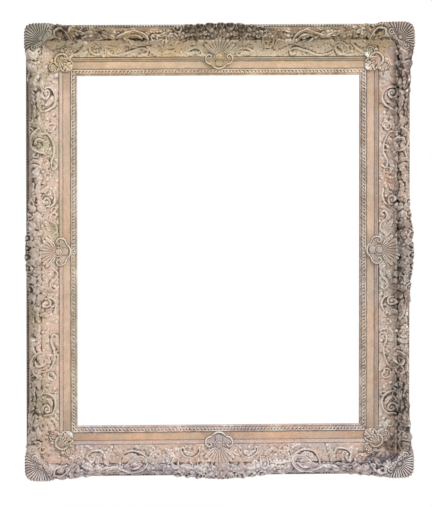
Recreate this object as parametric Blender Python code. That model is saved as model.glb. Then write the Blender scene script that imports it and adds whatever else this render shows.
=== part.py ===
"""Carved wooden picture frame with a swept outer edge, corner shells and centre cartouches.

Axes: X is the width, Z is up, and the front faces -Y. The plane y = 0 is the wall side.
The origin is the middle of the top back rail's rear face.

Each rail is drawn in its own terms: a runs along the rail from its middle, w runs outwards
from the sight edge, and h stands forward of the rear face. Rails are drawn as the bottom one
and turned about the middle of the opening. All lengths are metres.
"""

import math

import bmesh
import bpy
import numpy as np

# The opening and the rebate that the picture drops into
SIGHT_WIDTH = 0.585
SIGHT_HEIGHT = 0.724
REBATE_LIP = 0.008
REBATE_DEPTH = 0.018

# Bands of the front, from the sight edge outwards
SIGHT_BAND = 0.014
FRIEZE_BAND = 0.017
FILLET_BAND = 0.008
COVE_BAND = 0.035
RIDGE_BAND = 0.027
BEAD_BAND = 0.004

# Heights of the front forward of the rear face
SIGHT_LIP_HEIGHT = 0.025
SIGHT_CREST_HEIGHT = 0.032
FRIEZE_HEIGHT = 0.030
FILLET_HEIGHT = 0.036
FILLET_GROOVE = 0.002
COVE_HEIGHT = 0.035
SHOULDER_HEIGHT = 0.054
RIDGE_AXIS_HEIGHT = 0.048
RIDGE_RISE = 0.014
NECK_HEIGHT = 0.030
NECK_DEPTH = 0.004
BEAD_TOP_HEIGHT = 0.0245
BEAD_FOOT_HEIGHT = 0.010
BACK_CHAMFER = 0.002

# The swept outer edge: it swells at corners and centres and draws in between
CORNER_SWELL = 0.0060
CENTRE_SWELL = 0.0055
WAIST_PULL = 0.003
CORNER_LIFT = 0.005
CENTRE_LIFT = 0.004
CORNER_REACH = 0.180
CENTRE_REACH = 0.125
LEAF_PITCH = 0.030
LEAF_DEPTH = 0.0026

# Corner shell, hinged on the mitre and fanning out to the corner
SHELL_HINGE = 0.077
SHELL_RIBS = 9
SHELL_RIB_DEPTH = 0.0022
SHELL_LIP = 0.010
SHELL_LIP_RISE = 0.0025
SHELL_THICKNESS = 0.003
SHELL_RIM_DROP = 0.004
SHELL_SKIRT_DROP = 0.002
SHELL_ROUNDING = 4.0
SHELL_REACH = 0.0005

# Centre cartouche: a boss, a scallop fanning outwards, and three lobes towards the opening
BOSS_OFFSET = 0.040
BOSS_RADIUS = 0.0075
BOSS_RISE = 0.0035
SCALLOP_LENGTH = 0.042
SCALLOP_SPREAD = 52
SCALLOP_RIBS = 9
SCALLOP_RIB_DEPTH = 0.0020
LOBE_RADIUS = 0.0140
LOBE_DISTANCE = 0.0110
SIDE_LOBE_RADIUS = 0.0105
SIDE_LOBE_DISTANCE = 0.0185
SIDE_LOBE_ANGLE = 102
CARTOUCHE_THICKNESS = 0.0045

# Inner corner leaf over the mitre of the frieze: scrolls either side of a middle leaf
LEAF_OFFSET = 0.034
LEAF_SCROLL_RADIUS = 0.0135
LEAF_SCROLL_DISTANCE = 0.0185
LEAF_SCROLL_ANGLE = 80
LEAF_MIDDLE_RADIUS = 0.0130
LEAF_MIDDLE_DISTANCE = 0.0075
LEAF_THICKNESS = 0.0045

# Butterfly keys let into the back across each mitre
KEY_OFFSET = 0.055
KEY_LENGTH = 0.044
KEY_END_WIDTH = 0.016
KEY_WAIST_WIDTH = 0.008
KEY_DEPTH = 0.006

# Hangers: a folded strap, its ring and two screws on each side rail
HANGER_DROP = 0.230
HANGER_OFFSET = 0.040
STRAP_LENGTH = 0.043
STRAP_WIDTH = 0.019
SHEET_THICKNESS = 0.0012
RING_WIRE = 0.0024
RING_SIDE_PLAY = 0.0008
RING_LEG = 0.008
RING_CORNER = 0.0025
BORE_PLAY = 0.00035
FIRST_SCREW = 0.009
SECOND_SCREW = 0.032

# Turn buttons that hold the picture in
BUTTON_OFFSET = 0.020
BUTTON_REACH = 0.019
BUTTON_TAIL = 0.007
BUTTON_WIDTH = 0.010
BUTTON_THICKNESS = 0.0016
BUTTON_SPREAD = 0.150

# Round-head slotted wood screws
SCREW_SHANK = 0.0030
SCREW_HEAD = 0.0070
SCREW_HEAD_HEIGHT = 0.0020
SCREW_DEPTH = 0.012
SCREW_SLOT = 0.0010
SCREW_SIDES = 12

# Gap between glued or seated faces, and the play round a shank
JOINT_GAP = 0.0003

FRIEZE_START = SIGHT_BAND
CARVED_START = FRIEZE_START + FRIEZE_BAND
COVE_START = CARVED_START + FILLET_BAND
RIDGE_START = COVE_START + COVE_BAND
BEAD_START = RIDGE_START + RIDGE_BAND
RAIL_WIDTH = BEAD_START + BEAD_BAND
RIDGE_MIDDLE = (RIDGE_START + RAIL_WIDTH) / 2
FRONT_BASE = REBATE_DEPTH + JOINT_GAP
MITRE_TRIM = JOINT_GAP / math.sqrt(2)
SHELL_TOP_HEIGHT = RIDGE_AXIS_HEIGHT + RIDGE_RISE + CORNER_LIFT + SHELL_THICKNESS
SHELL_SKIRT_HEIGHT = RIDGE_AXIS_HEIGHT - SHELL_SKIRT_DROP
CENTRE_Z = -(SIGHT_HEIGHT / 2 + (REBATE_LIP + BEAD_START) / 2)

# Quarter turns about Y that carry the bottom rail to each side, with its half lengths
HALF_W = SIGHT_WIDTH / 2
HALF_H = SIGHT_HEIGHT / 2
RAILS = {
    "bottom": (0.0, HALF_W, HALF_H),
    "right": (-math.pi / 2, HALF_H, HALF_W),
    "top": (math.pi, HALF_W, HALF_H),
    "left": (math.pi / 2, HALF_H, HALF_W),
}
CORNERS = {
    "bottom_right": (0.0, HALF_W, -HALF_H),
    "top_right": (-math.pi / 2, HALF_W, HALF_H),
    "top_left": (math.pi, -HALF_W, HALF_H),
    "bottom_left": (math.pi / 2, -HALF_W, -HALF_H),
}

MATERIALS = {
    "aged_gilding": ((0.56, 0.43, 0.30), 0.62, 0.15),
    "bare_pine": ((0.42, 0.29, 0.17), 0.75, 0.0),
    "oak_key": ((0.33, 0.22, 0.12), 0.70, 0.0),
    "zinc_steel": ((0.55, 0.55, 0.53), 0.38, 1.0),
    "aged_brass": ((0.58, 0.43, 0.18), 0.40, 1.0),
}


# Materials and objects

def material(node_name, finish):
    """One Principled material for one sub-part, in the colour of its finish."""
    colour, roughness, metallic = MATERIALS[finish]
    made = bpy.data.materials.new(node_name + "_" + finish)
    made.use_nodes = True
    shader = made.node_tree.nodes["Principled BSDF"]
    shader.inputs["Base Color"].default_value = (*colour, 1.0)
    shader.inputs["Roughness"].default_value = roughness
    shader.inputs["Metallic"].default_value = metallic
    return made


def mesh_from(vertices, faces, name):
    """A mesh whose faces all point outwards."""
    mesh = bpy.data.meshes.new(name)
    mesh.from_pydata([tuple(v) for v in vertices], [], faces)
    shaped = bmesh.new()
    shaped.from_mesh(mesh)
    bmesh.ops.recalc_face_normals(shaped, faces=shaped.faces)
    shaped.to_mesh(mesh)
    shaped.free()
    return mesh


def add_object(name, mesh, finish, location=(0.0, 0.0, 0.0), turn=0.0):
    """Place a mesh as a named piece, turned about Y.

    The material sits on the object, so pieces may share a mesh and still have their own.
    """
    piece = bpy.data.objects.new(name, mesh)
    bpy.context.scene.collection.objects.link(piece)
    piece.location = location
    piece.rotation_euler = (0.0, turn, 0.0)
    if not mesh.materials:
        mesh.materials.append(None)
    piece.material_slots[0].link = "OBJECT"
    piece.material_slots[0].material = material(name, finish)
    return piece


def add_cutter(name, mesh, location=(0.0, 0.0, 0.0), turn=0.0):
    """A shape that only cuts others: drawn as wire and never rendered."""
    cutter = bpy.data.objects.new(name, mesh)
    bpy.context.scene.collection.objects.link(cutter)
    cutter.location = location
    cutter.rotation_euler = (0.0, turn, 0.0)
    cutter.display_type = "WIRE"
    cutter.hide_render = True
    return cutter


def cut(piece, cutter):
    """Take the cutter away from the piece with a live Boolean."""
    boolean = piece.modifiers.new("seat_" + cutter.name, "BOOLEAN")
    boolean.operation = "DIFFERENCE"
    boolean.solver = "EXACT"
    boolean.object = cutter


def smooth_round(mesh, angle=0.7):
    """Shade a turned or bent piece smooth, with its hard edges kept."""
    mesh.shade_smooth()
    mesh.set_sharp_from_angle(angle=angle)


# Rail sections: closed outlines of (w, h), listed from the inner foot over the top

def grow(outline, amount):
    """The outline moved outwards by amount, each corner along its mean normal."""
    points = np.array(outline)
    ahead = np.roll(points, -1, axis=0) - points
    ahead /= np.linalg.norm(ahead, axis=1)[:, None]
    behind = np.roll(ahead, 1, axis=0)
    normal_ahead = np.column_stack([-ahead[:, 1], ahead[:, 0]])
    normal_behind = np.column_stack([-behind[:, 1], behind[:, 0]])
    mean = normal_ahead + normal_behind
    mean /= np.linalg.norm(mean, axis=1)[:, None]
    stretch = np.clip((mean * normal_ahead).sum(axis=1), 0.4, 1.0)
    return points + mean * (amount / stretch)[:, None]


def back_outline(swell=0.0, lift=0.0):
    """The plain back bar, whose inner side is the wall of the rebate."""
    return [
        (REBATE_LIP, 0.0),
        (REBATE_LIP, REBATE_DEPTH),
        (BEAD_START, REBATE_DEPTH),
        (BEAD_START, BACK_CHAMFER),
        (BEAD_START - BACK_CHAMFER, 0.0),
    ]


def sight_outline(swell=0.0, lift=0.0):
    """The sight strip, a low moulding whose lip hangs over the rebate.

    The lip's rear is a face of its own, a step below the part glued to the back bar.
    """
    end = FRIEZE_START - JOINT_GAP
    step = REBATE_LIP - JOINT_GAP
    return [
        (step, FRONT_BASE),
        (step, REBATE_DEPTH),
        (0.0, REBATE_DEPTH),
        (0.0, SIGHT_LIP_HEIGHT),
        (0.15 * end, (SIGHT_LIP_HEIGHT + 2 * SIGHT_CREST_HEIGHT) / 3),
        (0.45 * end, SIGHT_CREST_HEIGHT),
        (0.80 * end, (FRIEZE_HEIGHT + SIGHT_CREST_HEIGHT) / 2),
        (end, FRIEZE_HEIGHT - FILLET_GROOVE),
        (end, FRONT_BASE),
    ]


def frieze_outline(swell=0.0, lift=0.0):
    """The plain flat frieze."""
    end = CARVED_START - JOINT_GAP
    return [
        (FRIEZE_START, FRONT_BASE),
        (FRIEZE_START, FRIEZE_HEIGHT - FILLET_GROOVE / 2),
        (end, FRIEZE_HEIGHT),
        (end, FRONT_BASE),
    ]


def fillet_points():
    """Two small fillets with a groove between them."""
    return [
        (CARVED_START, FILLET_HEIGHT - FILLET_GROOVE),
        (CARVED_START + 0.4 * FILLET_BAND, FILLET_HEIGHT - FILLET_GROOVE / 2),
        (CARVED_START + 0.55 * FILLET_BAND, FILLET_HEIGHT - 1.5 * FILLET_GROOVE),
        (CARVED_START + 0.7 * FILLET_BAND, FILLET_HEIGHT),
    ]


def cove_points(steps=5):
    """A quarter of an ellipse, flat by the fillets and steep under the ridge."""
    angles = np.linspace(0.0, math.pi / 2, steps)
    w = COVE_START + COVE_BAND * np.sin(angles)
    h = SHOULDER_HEIGHT - (SHOULDER_HEIGHT - COVE_HEIGHT) * np.cos(angles)
    return list(zip(w, h))


def ridge_points(swell, lift):
    """The rolled ridge, from inside its crest to its overhanging outer side."""
    half = (RAIL_WIDTH - RIDGE_START) / 2
    angles = np.radians([140, 108, 76, 44, 10, -25])
    outwards = (1 + np.cos(angles)) / 2
    w = RIDGE_MIDDLE + half * np.cos(angles) + swell * outwards
    h = RIDGE_AXIS_HEIGHT + RIDGE_RISE * np.sin(angles) + lift * np.clip(np.sin(angles), 0, 1)
    return list(zip(w, h))


def carved_outline(swell=0.0, lift=0.0):
    """The carved rail: fillets, cove and ridge, with a neck under its outer side."""
    foot = BEAD_START
    return [
        (CARVED_START, FRONT_BASE),
        *fillet_points(),
        *cove_points(),
        *ridge_points(swell, lift),
        (foot - NECK_DEPTH, NECK_HEIGHT),
        (foot, BEAD_TOP_HEIGHT),
        (foot, FRONT_BASE),
    ]


def bead_outline(swell=0.0, lift=0.0):
    """The narrow bead strip that finishes the outer edge."""
    start = BEAD_START + JOINT_GAP
    middle = (start + RAIL_WIDTH) / 2
    crown = BEAD_TOP_HEIGHT + BEAD_BAND / 4
    return [
        (start, BEAD_FOOT_HEIGHT),
        (start, BEAD_TOP_HEIGHT),
        (middle, crown),
        (RAIL_WIDTH, BEAD_TOP_HEIGHT - BEAD_BAND / 4),
        (RAIL_WIDTH, BEAD_FOOT_HEIGHT),
    ]


# The swept edge along a rail

def bump(distance, reach):
    """1 at distance 0, falling smoothly to 0 at reach."""
    share = np.clip(np.abs(distance) / reach, 0.0, 1.0)
    return 0.5 + 0.5 * np.cos(math.pi * share)


def swept_edge(along, end, parity=0):
    """How far the ridge swells outwards and lifts at a place along its crest."""
    corner = bump(end - abs(along), CORNER_REACH)
    centre = bump(along, CENTRE_REACH)
    leaf = LEAF_DEPTH * parity * (0.35 + 0.65 * max(corner, centre))
    swell = -WAIST_PULL + (WAIST_PULL + CORNER_SWELL) * corner
    swell += (WAIST_PULL + CENTRE_SWELL) * centre - leaf
    lift = CORNER_LIFT * corner + CENTRE_LIFT * centre - leaf
    return swell, lift


def straight_stations(half):
    """Two stations, for a moulding that is the same from end to end."""
    return [(-1.0, 0.0, 0.0), (1.0, 0.0, 0.0)]


def swept_stations(half):
    """Stations at the tips and the notches of the leaves along the ridge."""
    end = half + RIDGE_MIDDLE
    count = 4 * round(end / LEAF_PITCH / 2)
    shares = np.linspace(-1.0, 1.0, count + 1)
    return [(u, *swept_edge(u * end, end, i % 2)) for i, u in enumerate(shares)]


def rail_mesh(name, outline, stations, half, across):
    """A mitred rail: its outline carried along the stations, with flat mitre ends."""
    sections = []
    for share, swell, lift in stations(half):
        w, h = np.array(outline(swell, lift)).T
        along = share * (half + w - MITRE_TRIM)
        sections.append(np.column_stack([along, -h, -(across + w)]))
    size = len(sections[0])
    faces = [tuple(range(size)), tuple(range((len(sections) - 1) * size, len(sections) * size))]
    for i in range(len(sections) - 1):
        for j in range(size):
            k = (j + 1) % size
            faces.append((i * size + j, i * size + k, (i + 1) * size + k, (i + 1) * size + j))
    return mesh_from(np.vstack(sections), faces, name)


def ring_mesh(name, outline, stations):
    """The whole moulding as one unbroken ring, grown by the glue gap, to cut seats with."""
    sections = []
    for turn, half, across in RAILS.values():
        for share, swell, lift in stations(half)[:-1]:
            w, h = grow(outline(swell, lift), JOINT_GAP).T
            x = share * (half + w)
            z = -(across + w)
            turned_x = x * math.cos(turn) + z * math.sin(turn)
            turned_z = z * math.cos(turn) - x * math.sin(turn)
            sections.append(np.column_stack([turned_x, -h, turned_z]))
    size = len(sections[0])
    faces = []
    for i in range(len(sections)):
        n = (i + 1) % len(sections)
        for j in range(size):
            k = (j + 1) % size
            faces.append((i * size + j, i * size + k, n * size + k, n * size + j))
    return mesh_from(np.vstack(sections), faces, name)


def make_rails(kind, outline, stations, finish):
    """The four mitred rails of one moulding."""
    rails = {}
    for side, (turn, half, across) in RAILS.items():
        name = kind + "_" + side
        mesh = rail_mesh(name, outline, stations, half, across)
        rails[side] = add_object(name, mesh, finish, (0, 0, CENTRE_Z), turn)
    return rails


# Applied ornaments: closed bodies whose outline is a radius for each direction

def star_mesh(name, centre, radius, height, floor, spokes, rings):
    """A closed body over a star-shaped outline.

    radius gives the outline's distance from the centre for each direction, 0 pointing
    outwards, and height gives the top for each (across, w). Its underside is flat at floor.
    """
    angles = np.linspace(-math.pi, math.pi, spokes, endpoint=False)
    reach = radius(angles)
    across_c, w_c = centre
    top = [(across_c, -float(height(np.array([across_c]), np.array([w_c]))[0]), -w_c)]
    for share in rings:
        across = across_c + share * reach * np.sin(angles)
        w = w_c + share * reach * np.cos(angles)
        top.extend(zip(across, -height(across, w), -w))
    across = across_c + reach * np.sin(angles)
    w = w_c + reach * np.cos(angles)
    foot = list(zip(across, np.full(spokes, -floor), -w))
    faces = []
    for j in range(spokes):
        k = (j + 1) % spokes
        faces.append((0, 1 + j, 1 + k))
        for i in range(len(rings)):
            a = 1 + i * spokes
            faces.append((a + j, a + spokes + j, a + spokes + k, a + k))
    faces.append(tuple(1 + len(rings) * spokes + j for j in range(spokes)))
    return mesh_from(top + foot, faces, name)


def circle_reach(angles, heading, distance, radius):
    """How far a ray from the centre runs to the far side of a circle, or 0 if it misses.

    The circle's middle lies at distance along heading.
    """
    turned = angles - heading
    inside = radius ** 2 - (distance * np.sin(turned)) ** 2
    reach = distance * np.cos(turned) + np.sqrt(np.clip(inside, 0, None))
    return np.where(inside > 0, np.clip(reach, 0, None), 0.0)


def front_height(w, swell=0.0, lift=0.0):
    """Height of the front over the frieze, fillets, cove and ridge at w."""
    points = frieze_outline()[1:3] + carved_outline(swell, lift)[1:14]
    band_w, band_h = np.array(points).T
    return np.interp(w, band_w, band_h)


def corner_shell_mesh():
    """A ribbed fan from its hinge on the mitre to the rounded outer corner.

    Across and w are distances outwards from the sight corner along the two rails.
    """
    reach = RAIL_WIDTH + CORNER_SWELL + SHELL_REACH - SHELL_HINGE
    fan_half = math.radians(62)

    def radius(angles):
        """A rounded square corner within the fan, closing in to the lip behind it."""
        off_mitre = np.abs((angles - math.pi / 4 + math.pi) % (2 * math.pi) - math.pi)
        sides = np.abs(np.cos(angles)) ** SHELL_ROUNDING + np.abs(np.sin(angles)) ** SHELL_ROUNDING
        square = reach / sides ** (1 / SHELL_ROUNDING)
        phase = off_mitre / fan_half * SHELL_RIBS * math.pi / 2
        scallop = 1 - 0.05 * (1 - np.abs(np.cos(phase)))
        share = 1 - bump(np.maximum(math.pi - off_mitre, 0), math.pi - fan_half)
        return SHELL_LIP + (square * scallop - SHELL_LIP) * np.clip(share * 1.6, 0, 1)

    def height(across, w):
        """A shallow dish with ribs, and a lip rolled up along its hinge."""
        p = across - SHELL_HINGE
        q = w - SHELL_HINGE
        out = np.hypot(p, q)
        off_mitre = np.abs(np.arctan2(p, q) - math.pi / 4)
        ribs = np.abs(np.cos(off_mitre / fan_half * SHELL_RIBS * math.pi / 2))
        outwards = (p + q) / math.sqrt(2)
        lip = SHELL_LIP_RISE * np.exp(-((outwards + 0.2 * SHELL_LIP) / (0.6 * SHELL_LIP)) ** 2)
        rib_share = np.clip(out / reach, 0, 1) * (outwards > 0)
        drop = SHELL_RIM_DROP * np.clip(out / reach, 0, 1.3) ** 3
        return SHELL_TOP_HEIGHT + lip - drop - SHELL_RIB_DEPTH * (1 - ribs) * rib_share

    rings = (0.3, 0.55, 0.8, 1.0)
    centre = (SHELL_HINGE, SHELL_HINGE)
    return star_mesh("corner_shell", centre, radius, height, SHELL_SKIRT_HEIGHT, 40, rings)


def centre_cartouche_mesh():
    """A boss with a scallop fanning outwards and three lobes over the frieze."""
    fan_half = math.radians(SCALLOP_SPREAD)

    def radius(angles):
        """The scallop's rim, then the side lobes and the inner lobe as rounds."""
        off_axis = np.abs(angles)
        fan = SCALLOP_LENGTH * np.clip((fan_half * 1.25 - off_axis) * 6, 0, 1)
        phase = off_axis / fan_half * SCALLOP_RIBS * math.pi / 2
        fan *= 1 - 0.05 * (1 - np.abs(np.cos(phase)))
        heading = math.radians(SIDE_LOBE_ANGLE)
        side = circle_reach(off_axis, heading, SIDE_LOBE_DISTANCE, SIDE_LOBE_RADIUS)
        inner = circle_reach(off_axis, math.pi, LOBE_DISTANCE, LOBE_RADIUS)
        return np.maximum.reduce([fan, side, inner, np.full_like(angles, 2 * BOSS_RADIUS)])

    def height(across, w):
        """The rail's own front plus the cartouche, thickest at the boss and the ribs."""
        out = np.hypot(across, w - BOSS_OFFSET)
        off_axis = np.abs(np.arctan2(across, w - BOSS_OFFSET))
        ribs = np.abs(np.cos(off_axis / fan_half * SCALLOP_RIBS * math.pi / 2))
        in_fan = (off_axis < fan_half * 1.2) * np.clip(out / SCALLOP_LENGTH, 0, 1)
        boss = BOSS_RISE * bump(out, 2 * BOSS_RADIUS)
        ground = front_height(w, CENTRE_SWELL, CENTRE_LIFT)
        return ground + CARTOUCHE_THICKNESS + boss - SCALLOP_RIB_DEPTH * (1 - ribs) * in_fan

    floor = FRIEZE_HEIGHT - 2 * FILLET_GROOVE
    rings = (0.2, 0.45, 0.7, 0.9, 1.0)
    return star_mesh("centre_cartouche", (0.0, BOSS_OFFSET), radius, height, floor, 36, rings)


def corner_leaf_mesh():
    """A leafy cartouche lying square across the mitre, over the frieze and fillets."""

    def radius(angles):
        """A round scroll each side of the mitre, a middle leaf, and a bud behind it."""
        off_mitre = np.abs((angles - math.pi / 4 + math.pi) % (2 * math.pi) - math.pi)
        heading = math.radians(LEAF_SCROLL_ANGLE)
        scroll = circle_reach(off_mitre, heading, LEAF_SCROLL_DISTANCE, LEAF_SCROLL_RADIUS)
        middle = circle_reach(off_mitre, math.pi, LEAF_MIDDLE_DISTANCE, LEAF_MIDDLE_RADIUS)
        bud = circle_reach(off_mitre, 0.0, LEAF_MIDDLE_DISTANCE / 2, LEAF_MIDDLE_RADIUS)
        return np.maximum.reduce([scroll, middle, bud])

    def height(across, w):
        """The front of whichever rail lies there, plus the leaf's own crown."""
        band = np.maximum(across, w)
        out = np.hypot(across - LEAF_OFFSET, w - LEAF_OFFSET)
        crown = 0.35 * LEAF_THICKNESS * bump(out, LEAF_SCROLL_DISTANCE + LEAF_SCROLL_RADIUS)
        return front_height(band) + LEAF_THICKNESS * 0.8 + crown

    floor = FRIEZE_HEIGHT - 2 * FILLET_GROOVE
    rings = (0.35, 0.7, 1.0)
    centre = (LEAF_OFFSET, LEAF_OFFSET)
    return star_mesh("corner_leaf", centre, radius, height, floor, 30, rings)


def make_ornaments():
    """Seat the shells, cartouches and leaves on the front, a glue gap clear of it."""
    middle = (0, 0, CENTRE_Z)
    carved_ring = ring_mesh("carved_seat", carved_outline, swept_stations)
    frieze_ring = ring_mesh("frieze_seat", frieze_outline, straight_stations)
    carved_seat = add_cutter("carved_seat_cutter", carved_ring, middle)
    frieze_seat = add_cutter("frieze_seat_cutter", frieze_ring, middle)
    shell = corner_shell_mesh()
    leaf = corner_leaf_mesh()
    cartouche = centre_cartouche_mesh()
    for corner, (turn, x, z) in CORNERS.items():
        place = (x, 0, CENTRE_Z + z)
        cut(add_object("corner_shell_" + corner, shell, "aged_gilding", place, turn), carved_seat)
        inner = add_object("corner_leaf_" + corner, leaf, "aged_gilding", place, turn)
        cut(inner, carved_seat)
        cut(inner, frieze_seat)
    for side, (turn, half, across) in RAILS.items():
        place = (-across * math.sin(turn), 0, CENTRE_Z - across * math.cos(turn))
        centre = add_object("centre_cartouche_" + side, cartouche, "aged_gilding", place, turn)
        cut(centre, carved_seat)
        cut(centre, frieze_seat)


# Fixings in the back

def add_prism(shaped, outline, y_low, y_high):
    """Add a closed prism to a bmesh, from an outline of (x, z) between two depths."""
    low = [shaped.verts.new((x, y_low, z)) for x, z in outline]
    high = [shaped.verts.new((x, y_high, z)) for x, z in outline]
    shaped.faces.new(low)
    shaped.faces.new(high)
    for i in range(len(outline)):
        k = (i + 1) % len(outline)
        shaped.faces.new((low[i], low[k], high[k], high[i]))


def mesh_of_prisms(name, prisms):
    """A mesh of one or more closed prisms with outward faces."""
    shaped = bmesh.new()
    for outline, y_low, y_high in prisms:
        add_prism(shaped, outline, y_low, y_high)
    bmesh.ops.recalc_face_normals(shaped, faces=shaped.faces)
    mesh = bpy.data.meshes.new(name)
    shaped.to_mesh(mesh)
    shaped.free()
    return mesh


def circle(x, z, radius, sides=SCREW_SIDES):
    """Points of a circle round (x, z)."""
    angles = np.linspace(0.0, 2 * math.pi, sides, endpoint=False)
    return list(zip(x + radius * np.cos(angles), z + radius * np.sin(angles)))


def key_outline(growth=0.0):
    """A butterfly, its length square to the mitre, about its own middle."""
    half = KEY_LENGTH / 2 + growth
    end = KEY_END_WIDTH / 2 + growth
    waist = KEY_WAIST_WIDTH / 2 + growth
    shape = [(-half, -end), (0, -waist), (half, -end), (half, end), (0, waist), (-half, end)]
    turned = math.sqrt(0.5)
    return [((s + t) * turned, (s - t) * turned) for s, t in shape]


def make_keys():
    """A key in each mitre, flush with the back, and the cutter of its pocket."""
    mesh = mesh_of_prisms("mitre_key", [(key_outline(), -KEY_DEPTH, 0.0)])
    pocket = mesh_of_prisms("key_pocket", [(key_outline(JOINT_GAP), -KEY_DEPTH - JOINT_GAP, KEY_DEPTH)])
    cutters = {}
    for corner, (turn, x, z) in CORNERS.items():
        place = (x + math.copysign(KEY_OFFSET, x), 0, CENTRE_Z + z + math.copysign(KEY_OFFSET, z))
        add_object("mitre_key_" + corner, mesh, "oak_key", place, turn)
        cutters[corner] = add_cutter("key_pocket_cutter_" + corner, pocket, place, turn)
    return cutters


def slotted_screw_mesh(seat):
    """A round-head screw: head on the seat, shank into the wood, slot across the head.

    It is drawn with the rear face of the wood at y = 0 and its head outside, at +Y.
    """
    head_y = seat + JOINT_GAP
    steps = [
        (SCREW_SHANK / 2 * 0.4, -SCREW_DEPTH),
        (SCREW_SHANK / 2, -SCREW_DEPTH * 0.75),
        (SCREW_SHANK / 2, head_y),
        (SCREW_HEAD / 2, head_y),
        (SCREW_HEAD / 2, head_y + SCREW_HEAD_HEIGHT * 0.4),
        (SCREW_HEAD / 2 * 0.6, head_y + SCREW_HEAD_HEIGHT),
    ]
    vertices = []
    for radius, y in steps:
        vertices.extend((x, y, z) for x, z in circle(0, 0, radius))
    faces = [tuple(range(SCREW_SIDES))]
    faces.append(tuple((len(steps) - 1) * SCREW_SIDES + i for i in range(SCREW_SIDES)))
    for i in range(len(steps) - 1):
        for j in range(SCREW_SIDES):
            k = (j + 1) % SCREW_SIDES
            a = i * SCREW_SIDES
            faces.append((a + j, a + k, a + SCREW_SIDES + k, a + SCREW_SIDES + j))
    blank = bpy.data.objects.new("screw_blank", mesh_from(vertices, faces, "screw_blank"))
    half = SCREW_SLOT / 2
    slot_outline = [(-half, -SCREW_HEAD), (half, -SCREW_HEAD), (half, SCREW_HEAD), (-half, SCREW_HEAD)]
    top = head_y + SCREW_HEAD_HEIGHT
    slot_mesh = mesh_of_prisms("screw_slot", [(slot_outline, top - SCREW_SLOT, top + SCREW_SLOT)])
    slot = bpy.data.objects.new("screw_slot", slot_mesh)
    for piece in (blank, slot):
        bpy.context.scene.collection.objects.link(piece)
    cut(blank, slot)
    bpy.context.view_layer.update()
    evaluated = blank.evaluated_get(bpy.context.evaluated_depsgraph_get())
    mesh = bpy.data.meshes.new_from_object(evaluated)
    mesh.name = "slotted_screw"
    smooth_round(mesh)
    for piece in (blank, slot):
        bpy.data.objects.remove(piece)
    return mesh


def strap_mesh():
    """Sheet lying on the wood and folded round the ring's bar, with two screw holes.

    Its barrel is centred on x = 0 and y = barrel_height(), and the sheet runs to +X.
    """
    radius = barrel_radius() - SHEET_THICKNESS / 2
    angles = np.radians(np.linspace(-90, -340, 11))
    line = [(STRAP_LENGTH, 0.0)] + [(radius * math.cos(t), radius * (1 + math.sin(t))) for t in angles]
    line = np.array(line) + (0.0, JOINT_GAP + SHEET_THICKNESS / 2)
    ahead = np.gradient(line, axis=0)
    ahead[0] = line[1] - line[0]
    ahead[1] = (-1.0, 0.0)
    ahead /= np.linalg.norm(ahead, axis=1)[:, None]
    side = np.column_stack([-ahead[:, 1], ahead[:, 0]]) * SHEET_THICKNESS / 2
    outline = np.vstack([line + side, (line - side)[::-1]])
    half = STRAP_WIDTH / 2
    size = len(outline)
    vertices = [(x, y, -half) for x, y in outline] + [(x, y, half) for x, y in outline]
    faces = [tuple(range(size)), tuple(range(size, 2 * size))]
    for i in range(size):
        k = (i + 1) % size
        faces.append((i, k, size + k, size + i))
    return mesh_from(vertices, faces, "hanger_strap")


def barrel_radius():
    """Outside radius of the strap's fold round the ring's bar."""
    return RING_WIRE / 2 + BORE_PLAY + SHEET_THICKNESS


def barrel_height():
    """How far the ring's bar stands behind the rear face of the rail."""
    return JOINT_GAP + barrel_radius()


def ring_curve():
    """A D of round wire: a straight bar on the hinge axis, two legs and a half circle."""
    half = STRAP_WIDTH / 2 + RING_SIDE_PLAY + RING_WIRE / 2
    corner = [(-RING_CORNER * (1 - math.cos(t)), half - RING_CORNER * (1 - math.sin(t)))
              for t in np.radians([0, 30, 60, 90])]
    bend = [(-RING_LEG - half * math.sin(t), half * math.cos(t)) for t in np.linspace(0, math.pi, 11)]
    other = [(x, -z) for x, z in reversed(corner)]
    path = corner + bend + other
    curve = bpy.data.curves.new("hanger_ring", "CURVE")
    curve.dimensions = "3D"
    curve.bevel_depth = RING_WIRE / 2
    curve.bevel_resolution = 2
    spline = curve.splines.new("POLY")
    spline.points.add(len(path) - 1)
    for point, (x, z) in zip(spline.points, path):
        point.co = (x, 0.0, z, 1.0)
    spline.use_cyclic_u = True
    return curve


def button_mesh():
    """A flat brass button with round ends, bored at its pivot, pointing to -Z."""
    half = BUTTON_WIDTH / 2
    tip = [(half * math.cos(t), -(BUTTON_REACH - half) + half * math.sin(t))
           for t in np.linspace(0, -math.pi, 8)]
    tail = [(half * math.cos(t), (BUTTON_TAIL - half) + half * math.sin(t))
            for t in np.linspace(math.pi, 0, 8)]
    return mesh_of_prisms("turn_button", [(tip + tail, JOINT_GAP, JOINT_GAP + BUTTON_THICKNESS)])


def bore_mesh(name, depth_low, depth_high):
    """The cutter of one hole round a screw's shank."""
    return mesh_of_prisms(name, [(circle(0, 0, SCREW_SHANK / 2 + JOINT_GAP), depth_low, depth_high)])


def fasten(name, screw, place, cut_pieces):
    """Put in a screw and bore every piece that it passes through."""
    add_object(name, screw, "zinc_steel", place)
    bore = add_cutter(name + "_bore", bore_mesh(name + "_bore", -SCREW_DEPTH - JOINT_GAP, SCREW_HEAD), place)
    for piece in cut_pieces:
        cut(piece, bore)


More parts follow.
